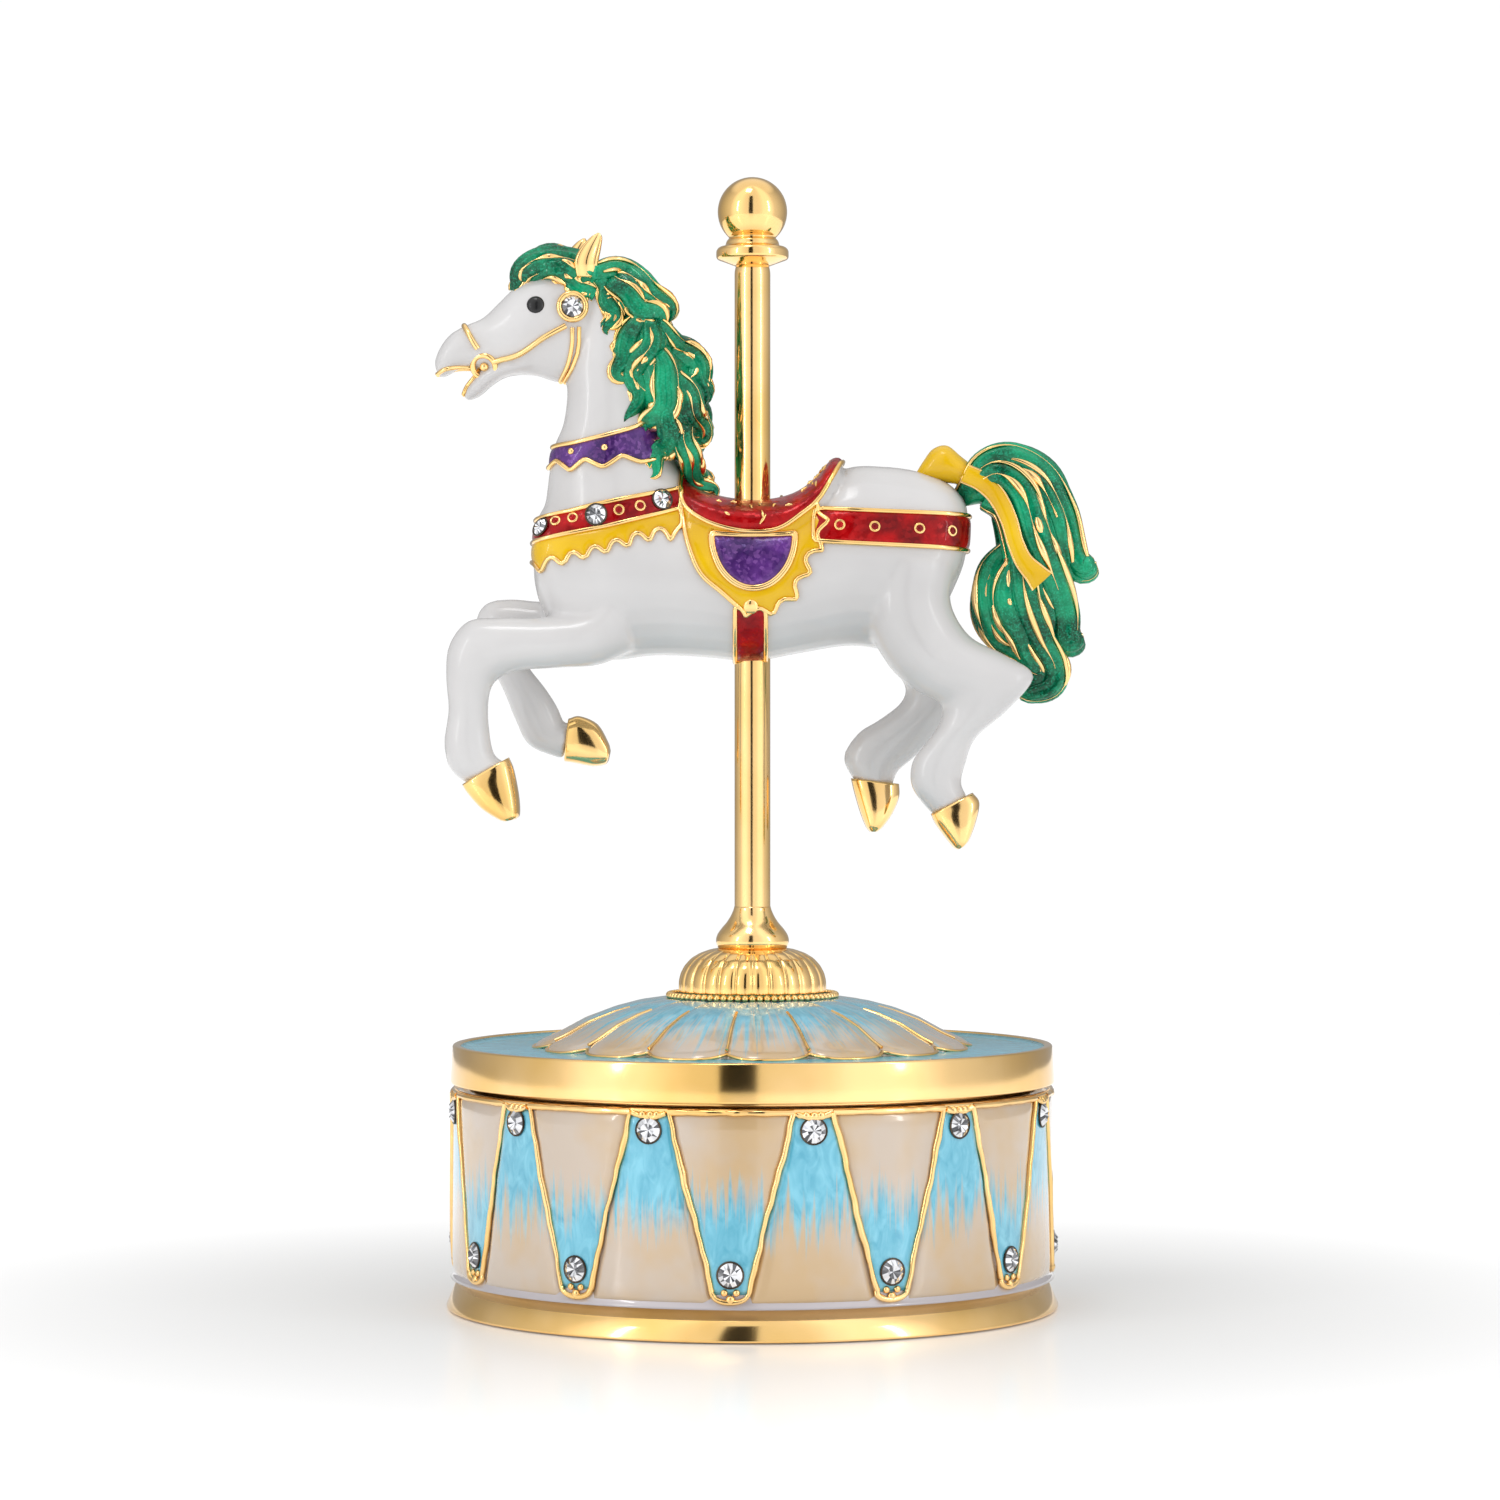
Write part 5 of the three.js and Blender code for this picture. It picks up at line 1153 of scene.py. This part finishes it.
def makePearl(name, start, reach, flip, radial=False, fine=60.0, base=None, coat=1.0):
    # cream enamel brushed into turquoise; flip puts the turquoise above the start level,
    # and base names a plain colour to use instead
    material, tree, shader = newMaterial(name)
    coord = addNode(tree, "ShaderNodeTexCoord")
    split = addNode(tree, "ShaderNodeSeparateXYZ")
    tree.links.new(coord.outputs["Object"], split.inputs[0])
    if radial:
        squared = mathNode(tree, "ADD", mathNode(tree, "MULTIPLY", split.outputs["X"], split.outputs["X"]),
                           mathNode(tree, "MULTIPLY", split.outputs["Y"], split.outputs["Y"]))
        along = mathNode(tree, "SQRT", squared)
    else:
        along = split.outputs["Z"]
    streaks = useGroup(tree, streakGroup, Start=start * mm, Reach=reach * mm, Fine=fine)
    tree.links.new(along, streaks.inputs["Along"])
    glaze = useGroup(tree, glazeGroup, Scale=90.0, Ripple=0.05, Depth=0.0003)
    cream = colourRamp(tree, glaze.outputs["Drift"],
                       [(0.38, pearlLook["creamCool"]), (0.62, pearlLook["creamWarm"])])
    turquoise = colourRamp(tree, streaks.outputs["Swirl"],
                           [(0.3, pearlLook["turquoiseDark"]), (0.7, pearlLook["turquoiseLight"])])
    mix = addNode(tree, "ShaderNodeMix", data_type="RGBA")
    tree.links.new(streaks.outputs["Mask"], mix.inputs["Factor"])
    tree.links.new(cream if flip else turquoise, mix.inputs["A"])
    tree.links.new(turquoise if flip else cream, mix.inputs["B"])
    if base:
        shader.inputs["Base Color"].default_value = (*pearlLook[base], 1)
    else:
        tree.links.new(mix.outputs["Result"], shader.inputs["Base Color"])
    tree.links.new(glaze.outputs["Normal"], shader.inputs["Normal"])
    shader.inputs["Metallic"].default_value = 0.1
    shader.inputs["Roughness"].default_value = pearlLook["rough"]
    shader.inputs["Coat Weight"].default_value = coat
    shader.inputs["Coat Roughness"].default_value = 0.05
    return material


def wallPoint(angle, z, lift=0.0):
    turn = math.radians(angle)
    r = wallRadius + lift
    return np.array([r * math.cos(turn), r * math.sin(turn), z])


def edgeAngle(centre, sideSign, share, index):
    # the zigzag line between two fields, from bottom (0) to top (1), with a hand-laid wobble
    s = drumSettings
    half = s["bottomHalf"] + (s["topHalf"] - s["bottomHalf"]) * share
    phase = 1.7 * index + 0.9 * sideSign
    wobble = (math.sin(9 * share + phase) + 0.7 * math.sin(23 * share + 2.3 * phase)
              + 0.4 * math.sin(51 * share + phase))
    return centre + sideSign * half + math.degrees(s["wobble"] * wobble * 0.35 / wallRadius)


def fieldPatch(leftLine, rightLine, low, high, rows=30, cols=14):
    # an enamel field between two edge lines, crowned in the middle
    verts, faces = [], []
    for layer in (0, 1):
        for j in range(rows + 1):
            share = j / rows
            for i in range(cols + 1):
                across = i / cols
                angle = leftLine(share) * (1 - across) + rightLine(share) * across
                rim = min(across, 1 - across, share * 1.5, (1 - share) * 1.5) * 8
                crown = 0.28 * (1 - (1 - min(rim, 1)) ** 2)
                verts.append(wallPoint(angle, low + (high - low) * share, crown if layer == 0 else -0.4))
    row = cols + 1
    size = row * (rows + 1)
    for j in range(rows):
        for i in range(cols):
            a = j * row + i
            faces.append((a, a + 1, a + row + 1, a + row))
            faces.append((a + size, a + row + size, a + row + 1 + size, a + 1 + size))
    border = list(range(cols)) + [cols + j * row for j in range(rows)]
    border += [rows * row + cols - i for i in range(cols)] + [(rows - j) * row for j in range(rows)]
    for a, b in zip(border, border[1:] + border[:1]):
        faces.append((b, a, a + size, b + size))
    return verts, faces


def buildDrum():
    s = drumSettings
    low, high = shellLow, shellHigh
    tilt = s["faceTilt"]
    ring = roundProfile([(wallRadius - 1.5, low + 3.2), (wallRadius - 1.5, low + 0.4),
                         (footRadius - 1.2, low + 0.4),
                         (footRadius - 1.2, s["footBottom"]), (footRadius, s["footBottom"]),
                         (footRadius - tilt, low + 3.2)], 0.3)
    ring = [(wallRadius - 1.5, low + 3.19), *ring[1:-1], (footRadius - 1.5, low + 3.2)]
    foot = makePiece("foot_ring", *lathe(ring, 160, closed=True), goldMaterial)
    settle(foot, "drum", "gold")
    creamPlain = makePearl("creamWall", 2000.0, 1.0, False, base="lilac")
    wall = [(wallRadius - s["wallThick"], low + 3.0), (wallRadius + 0.55, low + 3.1),
            (wallRadius + 0.25, low + 3.4), (wallRadius + 0.05, low + 3.9), (wallRadius, low + 4.6),
            (wallRadius, high - 0.2),
            (wallRadius - s["wallThick"], high - 0.2)]
    settle(makePiece("drum_wall", *lathe(wall, 160, closed=True), creamPlain), "drum", "drum_enamel",
           "drum_shell")
    topWire = [wallPoint(a, high - 0.35, 0.0) for a in np.linspace(0, 360, 145)]
    settle(wirePiece("drum_top_wire", [topWire], 0.34, goldMaterial), "drum", "gold")
    step = 360 / s["panels"]
    down, up, lines, blobs, stones = [], [], [], [], []
    lowEdge, highEdge = s["lowEdge"], s["highEdge"]
    for k in range(s["panels"]):
        centre = s["firstAngle"] + step * k
        left = lambda t, c=centre, i=k: edgeAngle(c, -1, t, i)
        right = lambda t, c=centre, i=k: edgeAngle(c, 1, t, i)
        nextLeft = lambda t, c=centre + step, i=k + 1: edgeAngle(c, -1, t, i % s["panels"])
        down.append(fieldPatch(left, right, lowEdge, highEdge))
        up.append(fieldPatch(right, nextLeft, lowEdge - 1.2, highEdge - 0.2))
        shares = np.linspace(0, 1, 60)
        leftWire = [wallPoint(left(t), lowEdge + (highEdge - lowEdge) * t, 0.22) for t in shares]
        rightWire = [wallPoint(right(t), lowEdge + (highEdge - lowEdge) * t, 0.22) for t in shares]
        bottomTurn = [wallPoint(centre + s["bottomHalf"] * math.cos(a), lowEdge + 0.9 * math.sin(a), 0.22)
                      for a in np.linspace(math.pi, 2 * math.pi, 12)]
        topLine = [wallPoint(centre - s["topHalf"] + 2 * s["topHalf"] * t, highEdge, 0.2)
                   for t in np.linspace(0, 1, 20)]
        lines += [leftWire[::-1] + bottomTurn + rightWire, topLine]
        # small gold claws that hold the stones
        for a in (-0.5, 0.5):
            blobs.append((wallPoint(centre + a * 2.2, lowEdge + 0.25, 0.2), 0.42))
        blobs.append((wallPoint(centre, lowEdge - 0.55, 0.2), 0.55))
        mid = centre + step / 2
        for a in (-1.3, 0.2, 1.4):
            blobs.append((wallPoint(mid + a, highEdge - 0.35, 0.25), 0.5))
        bridge = [wallPoint(mid + 3.2 * t, highEdge - 0.1 - 0.5 * (1 - t * t), 0.25)
                  for t in np.linspace(-1, 1, 12)]
        lines.append(bridge)
        for angle, z in ((centre, s["lowStone"]), (mid, s["highStone"])):
            turn = math.radians(angle)
            outward = np.array([math.cos(turn), math.sin(turn), 0.0])
            stones.append((wallPoint(angle, z, 0.35), outward, s["stoneRadius"]))
    middle = (low + high) / 2
    settle(makePiece("drum_fields_down", *joinRaw(down), makePearl("pearlDown", middle + 1.8, 8.0, False)),
           "drum", "drum_enamel")
    settle(makePiece("drum_fields_up", *joinRaw(up), makePearl("pearlUp", middle + 0.6, 8.0, True)),
           "drum", "drum_enamel")
    random = np.random.default_rng(3)
    widths = [np.interp(np.linspace(0, 1, len(line)), np.linspace(0, 1, 14), random.uniform(0.7, 1.3, 14))
              for line in lines]
    settle(wirePiece("drum_wires", lines, s["wire"], goldMaterial, widths), "drum", "gold")
    claws = [domeMesh(c, np.array([c[0], c[1], 0.0]), r, r * 0.8) for c, r in blobs]
    settle(makePiece("drum_claws", *joinRaw(claws), goldMaterial), "drum", "gold")
    stonePiece("drum_stones", stones, "drum", "drum_enamel", 7)


buildDrum()
print("drum ready")

_, tableHigh, rimRadius = nodeSpan("turntable")
domeRise = 5.6
rimTop = tableHigh - domeRise
rimBottom = shellHigh + 0.5
domeSettings = {"petals": 16, "firstAngle": -97.0, "outer": 26.9, "notch": 2.0, "inner": 8.7, "wire": 0.2,
                "groove": 0.35, "channel": 0.5, "rimWidth": 1.25, "faceTilt": 0.24}


def domeHeight(r):
    radii = [9.6, 11.3, 14.3, 17.5, 20.6, 23.4, 26.0, 27.0]
    heights = [domeRise, domeRise, 5.1, 4.2, 3.0, 1.45, 0.3, -0.2]
    return rimTop + np.interp(r, radii, heights)


def buildTurntable():
    s = domeSettings
    inner = rimRadius - s["rimWidth"]
    tilt = s["faceTilt"]
    inside = rimRadius - 3.4
    rim = roundProfile([(inside, rimTop - 1.4), (inside, rimBottom), (rimRadius, rimBottom),
                        (rimRadius - tilt, rimTop), (inner, rimTop), (inner, rimTop - 1.4)], 0.3)
    rim = [(inside, rimTop - 1.39), *rim[1:-1], (inner, rimTop - 1.41)]
    rimPiece = makePiece("turntable_rim", *lathe(rim, 200, closed=True), goldMaterial)
    settle(rimPiece, "carousel", "gold")
    skirt = [(inside - 0.4, rimTop - 1.5), (inside - 0.4, rimBottom - 4.0), (inside + 0.4, rimBottom - 4.0),
             (inside + 0.4, rimTop - 1.5)]
    settle(makePiece("turntable_skirt", *lathe(skirt, 160, closed=True), goldMaterial), "carousel", "gold")
    channelZ = rimTop - s["channel"]
    turquoise = makePearl("turquoiseChannel", 0.0, 1.0, True, radial=True, coat=0.1)
    channel = [(inner + 0.1, channelZ - 1.2), (inner + 0.1, channelZ + 0.35), (inner - 0.5, channelZ + 0.08),
               (inner - 1.4, channelZ), (27.6, channelZ), (26.6, channelZ + 0.2), (24.0, channelZ + 0.2),
               (24.0, channelZ - 1.2)]
    settle(makePiece("turntable_channel", *lathe(channel, 160, closed=True), turquoise), "carousel",
           "drum_enamel")
    # petals: a polar grid, crowned across each petal, ending in a scalloped edge
    sides, rings = s["petals"] * 24, 34
    verts, faces, edgeLine = [], [], []
    for i in range(sides):
        local = (i % 24) / 12 - 1
        angle = math.radians(s["firstAngle"] + 360 * i / sides)
        tip = s["outer"] - s["notch"] * abs(local) ** 3.0
        for j in range(rings + 1):
            r = s["inner"] + (tip - s["inner"]) * j / rings
            width = min(1.0, (r - s["inner"]) / 9)
            crown = s["groove"] * width * ((1 - abs(local) ** 2.5) - 0.5)
            droop = 0.5 * max(0, (r - tip + 1.0)) ** 2 * 0.9
            z = domeHeight(r) + crown - droop
            verts.append((r * math.cos(angle), r * math.sin(angle), z))
        edgeLine.append((tip * math.cos(angle), tip * math.sin(angle), verts[-1][2] + 0.1))
        verts.append((tip * math.cos(angle), tip * math.sin(angle), channelZ - 0.5))
        verts.append((s["inner"] * math.cos(angle), s["inner"] * math.sin(angle), channelZ - 0.5))
    row = rings + 3
    for i in range(sides):
        for j in range(row):
            a = i * row + j
            b = ((i + 1) % sides) * row + j
            a2 = i * row + (j + 1) % row
            b2 = ((i + 1) % sides) * row + (j + 1) % row
            faces.append((a, a2, b2, b))
    petal = makePearl("petalPearl", 21.0, 11.0, False, radial=True, fine=34.0)
    settle(makePiece("petal_dome", verts, faces, petal), "carousel", "drum_enamel", "turntable")
    veins = []
    for k in range(s["petals"]):
        angle = math.radians(s["firstAngle"] + 360 * k / s["petals"])
        radii = np.linspace(s["outer"] - s["notch"], 15.5, 24)
        veins.append([(r * math.cos(angle), r * math.sin(angle), domeHeight(r) - s["groove"] * 0.45 +
                       0.12 - 0.012 * (24.9 - r)) for r in radii])
    edgeLine.append(edgeLine[0])
    settle(wirePiece("petal_wires", veins + [edgeLine], s["wire"], goldMaterial), "carousel", "gold")


buildTurntable()


def turnedFitting(name, node, shares, sides=96, flutes=0, fluteDepth=0.0, crease=0.5):
    # profile points are shares of the node's radius and height
    low, high, radius = nodeSpan(node)
    profile = roundProfile([(r * radius, low + (high - low) * t) for r, t in shares], 0.35)
    verts, faces = lathe(profile, sides)
    if flutes:
        shaped = []
        for x, y, z in verts:
            r, angle = math.hypot(x, y), math.atan2(y, x)
            lobe = abs(math.cos(flutes * angle / 2)) ** crease
            grow = 1 - fluteDepth * (1 - lobe) * min(1, r / (0.6 * radius))
            shaped.append((x * grow, y * grow, z))
        verts = shaped
    settle(makePiece(name, verts, faces, goldMaterial), "carousel", "gold", node)


turnedFitting("pole_tube", "pole", [(0.9, 0.0), (1, 0.01), (1, 0.99), (0.9, 1.0)], 64)
turnedFitting("gadrooned_collar", "fluted_collar",
              [(0.96, 0), (1.0, 0.06), (1.0, 0.3), (0.975, 0.46), (0.92, 0.62), (0.83, 0.77), (0.71, 0.88),
               (0.58, 0.95), (0.4, 1.0)], 312, flutes=26, fluteDepth=0.05, crease=0.3)
turnedFitting("socket_cone", "pole_socket",
              [(0.94, -0.09), (1.0, 0.02), (1.01, 0.14), (0.97, 0.27), (0.86, 0.42), (0.71, 0.58),
               (0.59, 0.76),
               (0.52, 0.92), (0.5, 1.0)])
finialLow, finialHigh, finialRadius = nodeSpan("finial")
ballRadius = 4.27
ballShare = ballRadius / finialRadius
ballArc = [(ballShare * math.cos(a), 1 - ballRadius * (1 - math.sin(a)) / (finialHigh - finialLow))
           for a in np.linspace(-0.85, 1.5, 22)]
turnedFitting("finial_ball", "finial",
              [(0.5, -0.05), (0.8, 0.0), (1.0, 0.03), (1.0, 0.13), (0.92, 0.17), (0.75, 0.18), (0.72, 0.24),
               *ballArc, (0.02, 1.0)])


beadSettings = {"count": 72, "radius": 0.44, "circle": 10.2, "sink": 0.05, "lean": 0.5}


def buildBeadRing():
    s = beadSettings
    low = nodeSpan("beaded_ring")[0]
    beads = []
    for k in range(s["count"]):
        angle = 2 * math.pi * k / s["count"]
        outward = np.array([math.cos(angle), math.sin(angle), 0.0])
        centre = s["circle"] * outward + [0, 0, low - s["sink"]]
        beads.append(domeMesh(centre, s["lean"] * outward + [0, 0, 1.0], s["radius"], s["radius"], 5, 14))
    settle(makePiece("bead_ring", *joinRaw(beads), goldMaterial), "carousel", "gold", "beaded_ring")


buildBeadRing()


ornament = {
    "stones": [(-22, 32.3, 1.35), (-18.9, 6.75, 1.25), (-11.1, 8.6, 1.2), (-25.6, 5.2, 1.1)],
    "dots": [(-23.9, 5.9), (-21.8, 6.3), (-16.2, 7.3), (-13.7, 7.8), (10.6, 5.4), (14.8, 5.2), (20.2, 5),
             (24.1, 4.8)],
    "pips": [(-22, 14.6), (-18, 15)], "buckle": (-0.2, -4.4), "flecks": 46,
}


def horseStones():
    stones, bosses, rings, reds = [], [], [], []
    for side in (-1, 1):
        for x, z, radius in ornament["stones"]:
            centre, normal = surfacePoint(x, z, side, 0.35)
            stones.append((centre, normal, radius))
        for x, z in ornament["dots"]:
            centre, normal = surfacePoint(x, z, side, 0.34)
            rings.append(ringAround(centre, normal, 0.55, 18))
            reds.append(domeMesh(centre, normal, 0.48, 0.3, 4, 14))
        for x, z in ornament["pips"]:
            bosses.append(domeMesh(*surfacePoint(x, z, side, 0.3), 0.42, 0.3))
        bosses.append(domeMesh(*surfacePoint(*ornament["buckle"], side, 0.3), 0.95, 0.4))
    stonePiece("horse_stones", stones, "carousel", "white_enamel", 11)
    settle(makePiece("horse_bosses", *joinRaw(bosses), goldMaterial), "carousel", "gold")
    settle(makePiece("strap_dots", *joinRaw(reds), enamels["redEnamel"]), "carousel", "red_enamel")
    settle(wirePiece("strap_rings", rings, 0.17, goldMaterial), "carousel", "gold")


def saddleFlecks():
    # short dashes of gold scattered over the red seat
    random = np.random.default_rng(21)
    inside = np.where((saddleDepth < -0.7) & (np.hypot(bodyVerts[:, 0] - poleX, bodyVerts[:, 1]) > 3.4))[0]
    lines, widths = [], []
    for k in random.choice(inside, ornament["flecks"], replace=False):
        a, b, n = frameFor(bodyNormals[k])
        turn = random.uniform(0, math.pi)
        reach = random.uniform(0.35, 0.8)
        direction = (a * math.cos(turn) + b * math.sin(turn)) * reach
        middle = bodyVerts[k] + n * 0.33
        lines.append([middle - direction, middle + n * 0.04, middle + direction])
        widths.append([0.35, 1.0, 0.35])
    settle(wirePiece("saddle_flecks", lines, 0.22, goldMaterial, widths), "carousel", "gold")


saddleFlecks()
horseStones()
print("turntable, pole and stones ready")

brassLook = {"dark": (0.42, 0.30, 0.11), "light": (0.62, 0.46, 0.19), "rough": 0.34, "scale": 400.0}
steelLook = {"dark": (0.36, 0.37, 0.38), "light": (0.58, 0.59, 0.60), "rough": 0.32, "scale": 500.0}
zincLook = {"dark": (0.30, 0.31, 0.33), "light": (0.44, 0.45, 0.47), "rough": 0.55, "scale": 700.0}


def makeFelt():
    material, tree, shader = newMaterial("greenFelt")
    coord = addNode(tree, "ShaderNodeTexCoord")
    noise = addNode(tree, "ShaderNodeTexNoise")
    noise.inputs["Scale"].default_value = 1800.0
    noise.inputs["Detail"].default_value = 6.0
    tree.links.new(coord.outputs["Object"], noise.inputs["Vector"])
    colour = colourRamp(tree, noise.outputs["Fac"], [(0.3, (0.008, 0.03, 0.016)), (0.7, (0.02, 0.075, 0.04))])
    tree.links.new(colour, shader.inputs["Base Color"])
    bump = addNode(tree, "ShaderNodeBump")
    bump.inputs["Strength"].default_value = 0.6
    bump.inputs["Distance"].default_value = 0.0002
    tree.links.new(noise.outputs["Fac"], bump.inputs["Height"])
    tree.links.new(bump.outputs["Normal"], shader.inputs["Normal"])
    shader.inputs["Roughness"].default_value = 0.95
    shader.inputs["Sheen Weight"].default_value = 0.5
    return material


def finishFrameNodes():
    slotLooks = {"brass": makeGold("turnedBrass", brassLook), "steel": makeGold("plainSteel", steelLook),
                 "cast_zinc": makeGold("castZinc", zincLook), "felt": makeFelt()}
    slots = {part["node"]: part["material_slot"] for part in frame["record"]["subparts"]}
    for name, obj in frame["nodes"].items():
        material = slotLooks.get(slots[name])
        if material:
            obj.data.materials.clear()
            obj.data.materials.append(material)


finishFrameNodes()

stageLook = {"floor": (0.93, 0.93, 0.93), "floorSize": 0.6, "nearGlow": 0.10, "farGlow": 0.42,
             "glowFrom": 0.04, "glowTo": 0.16, "flag": (0.01, 0.01, 0.01), "flagLeft": -0.15,
             "flagRight": 0.02, "flagDistance": 0.70, "flagHeight": 0.9}


def stageQuad(name, corners, colour, rough):
    mesh = bpy.data.meshes.new(name)
    mesh.from_pydata(corners, [], [(0, 1, 2, 3)])
    quad = bpy.data.objects.new(name, mesh)
    bpy.context.scene.collection.objects.link(quad)
    material, tree, shader = newMaterial(name + "Finish")
    shader.inputs["Base Color"].default_value = (*colour, 1)
    shader.inputs["Roughness"].default_value = rough
    mesh.materials.append(material)
    return tree, shader


def buildStage():
    size = stageLook["floorSize"]
    floor = [(-size, -size, 0), (size, -size, 0), (size, size, 0), (-size, size, 0)]
    tree, shader = stageQuad("floor", floor, stageLook["floor"], 0.22)
    # painted glow: the paper's emission rises away from the subject, so it runs into the backdrop
    coord = addNode(tree, "ShaderNodeTexCoord")
    far = addNode(tree, "ShaderNodeVectorMath", operation="LENGTH")
    tree.links.new(coord.outputs["Object"], far.inputs[0])
    glow = rampNode(tree, far.outputs["Value"], stageLook["glowFrom"], stageLook["glowTo"],
                    stageLook["nearGlow"], stageLook["farGlow"])
    tree.links.new(glow, shader.inputs["Emission Strength"])
    shader.inputs["Emission Color"].default_value = (1, 1, 1, 1)
    # a black card between the two big lights gives the gold its dark middle
    left, right = stageLook["flagLeft"], stageLook["flagRight"]
    y, top = -stageLook["flagDistance"], stageLook["flagHeight"]
    card = [(left, y, 0.0), (right, y, 0.0), (right, y, top), (left, y, top)]
    stageQuad("flag", card, stageLook["flag"], 0.9)


def areaLight(name, place, target, size, power):
    data = bpy.data.lights.new(name, "AREA")
    data.shape = "RECTANGLE"
    data.size, data.size_y = size
    data.energy = power
    light = bpy.data.objects.new(name, data)
    bpy.context.scene.collection.objects.link(light)
    light.location = place
    light.rotation_euler = (Vector(target) - Vector(place)).to_track_quat("-Z", "Y").to_euler()


# strength of the tent's wall against how far it stands to the front: -1 behind, 0 at the side, 1 in front
tentLook = {"top": 1.0, "seen": 1.02, "full": 1.5,
            "wall": [(-0.75, 0.40), (-0.3, 0.62), (0.2, 0.88), (0.45, 1.38), (0.78, 1.38), (0.93, 1.04),
                     (1.0, 1.0)]}


def buildTent():
    # a white tent round the front and sides that is dimmer behind, and a plain white backdrop
    look = tentLook
    world = bpy.data.worlds.new("studio")
    bpy.context.scene.world = world
    world.use_nodes = True
    tree = world.node_tree
    background = tree.nodes["Background"]
    background.inputs["Color"].default_value = (1, 1, 1, 1)
    coord = addNode(tree, "ShaderNodeTexCoord")
    split = addNode(tree, "ShaderNodeSeparateXYZ")
    tree.links.new(coord.outputs["Generated"], split.inputs[0])
    x, y, z = split.outputs
    flat = mathNode(tree, "SQRT", mathNode(tree, "ADD", mathNode(tree, "MULTIPLY", x, x),
                                           mathNode(tree, "MULTIPLY", y, y)))
    towards = mathNode(tree, "MULTIPLY", y, -1.0)
    facing = mathNode(tree, "DIVIDE", towards, mathNode(tree, "MAXIMUM", flat, 0.01))
    turned = mathNode(tree, "MULTIPLY_ADD", facing, 0.5)
    turned.node.inputs[2].default_value = 0.5
    stops = [(0.5 + 0.5 * place, (level / look["full"],) * 3) for place, level in look["wall"]]
    wall = mathNode(tree, "MULTIPLY", colourRamp(tree, turned, stops), look["full"])
    roof = rampNode(tree, z, 0.45, 0.85, 0.0, look["top"])
    level = mathNode(tree, "MAXIMUM", wall, roof)
    seen = addNode(tree, "ShaderNodeLightPath")
    mix = addNode(tree, "ShaderNodeMix", data_type="FLOAT")
    tree.links.new(seen.outputs["Is Camera Ray"], mix.inputs["Factor"])
    tree.links.new(level, mix.inputs["A"])
    mix.inputs["B"].default_value = look["seen"]
    tree.links.new(mix.outputs["Result"], background.inputs["Strength"])
    bpy.context.scene.view_settings.view_transform = "Standard"


def buildLights():
    middle = (0, 0, 0.07)
    areaLight("softTop", (-0.1, -0.2, 0.7), middle, (0.14, 0.14), 0.4)
    areaLight("stripLeft", (-0.55, -0.45, 0.30), middle, (0.03, 0.4), 0.40)
    areaLight("stripRight", (0.60, -0.40, 0.30), middle, (0.03, 0.4), 0.32)
    buildTent()


cameraSettings = {"lens": 109.0, "sensor": 36.0, "near": 0.01, "place": (-0.0003, -0.558, 0.0682)}


def buildCamera():
    data = bpy.data.cameras.new("camera")
    data.lens = cameraSettings["lens"]
    data.sensor_width = cameraSettings["sensor"]
    data.clip_start = cameraSettings["near"]
    camera = bpy.data.objects.new("camera", data)
    bpy.context.scene.collection.objects.link(camera)
    camera.location = cameraSettings["place"]
    camera.rotation_euler = (math.pi / 2, 0, 0)
    bpy.context.scene.camera = camera


buildStage()
buildLights()
buildCamera()
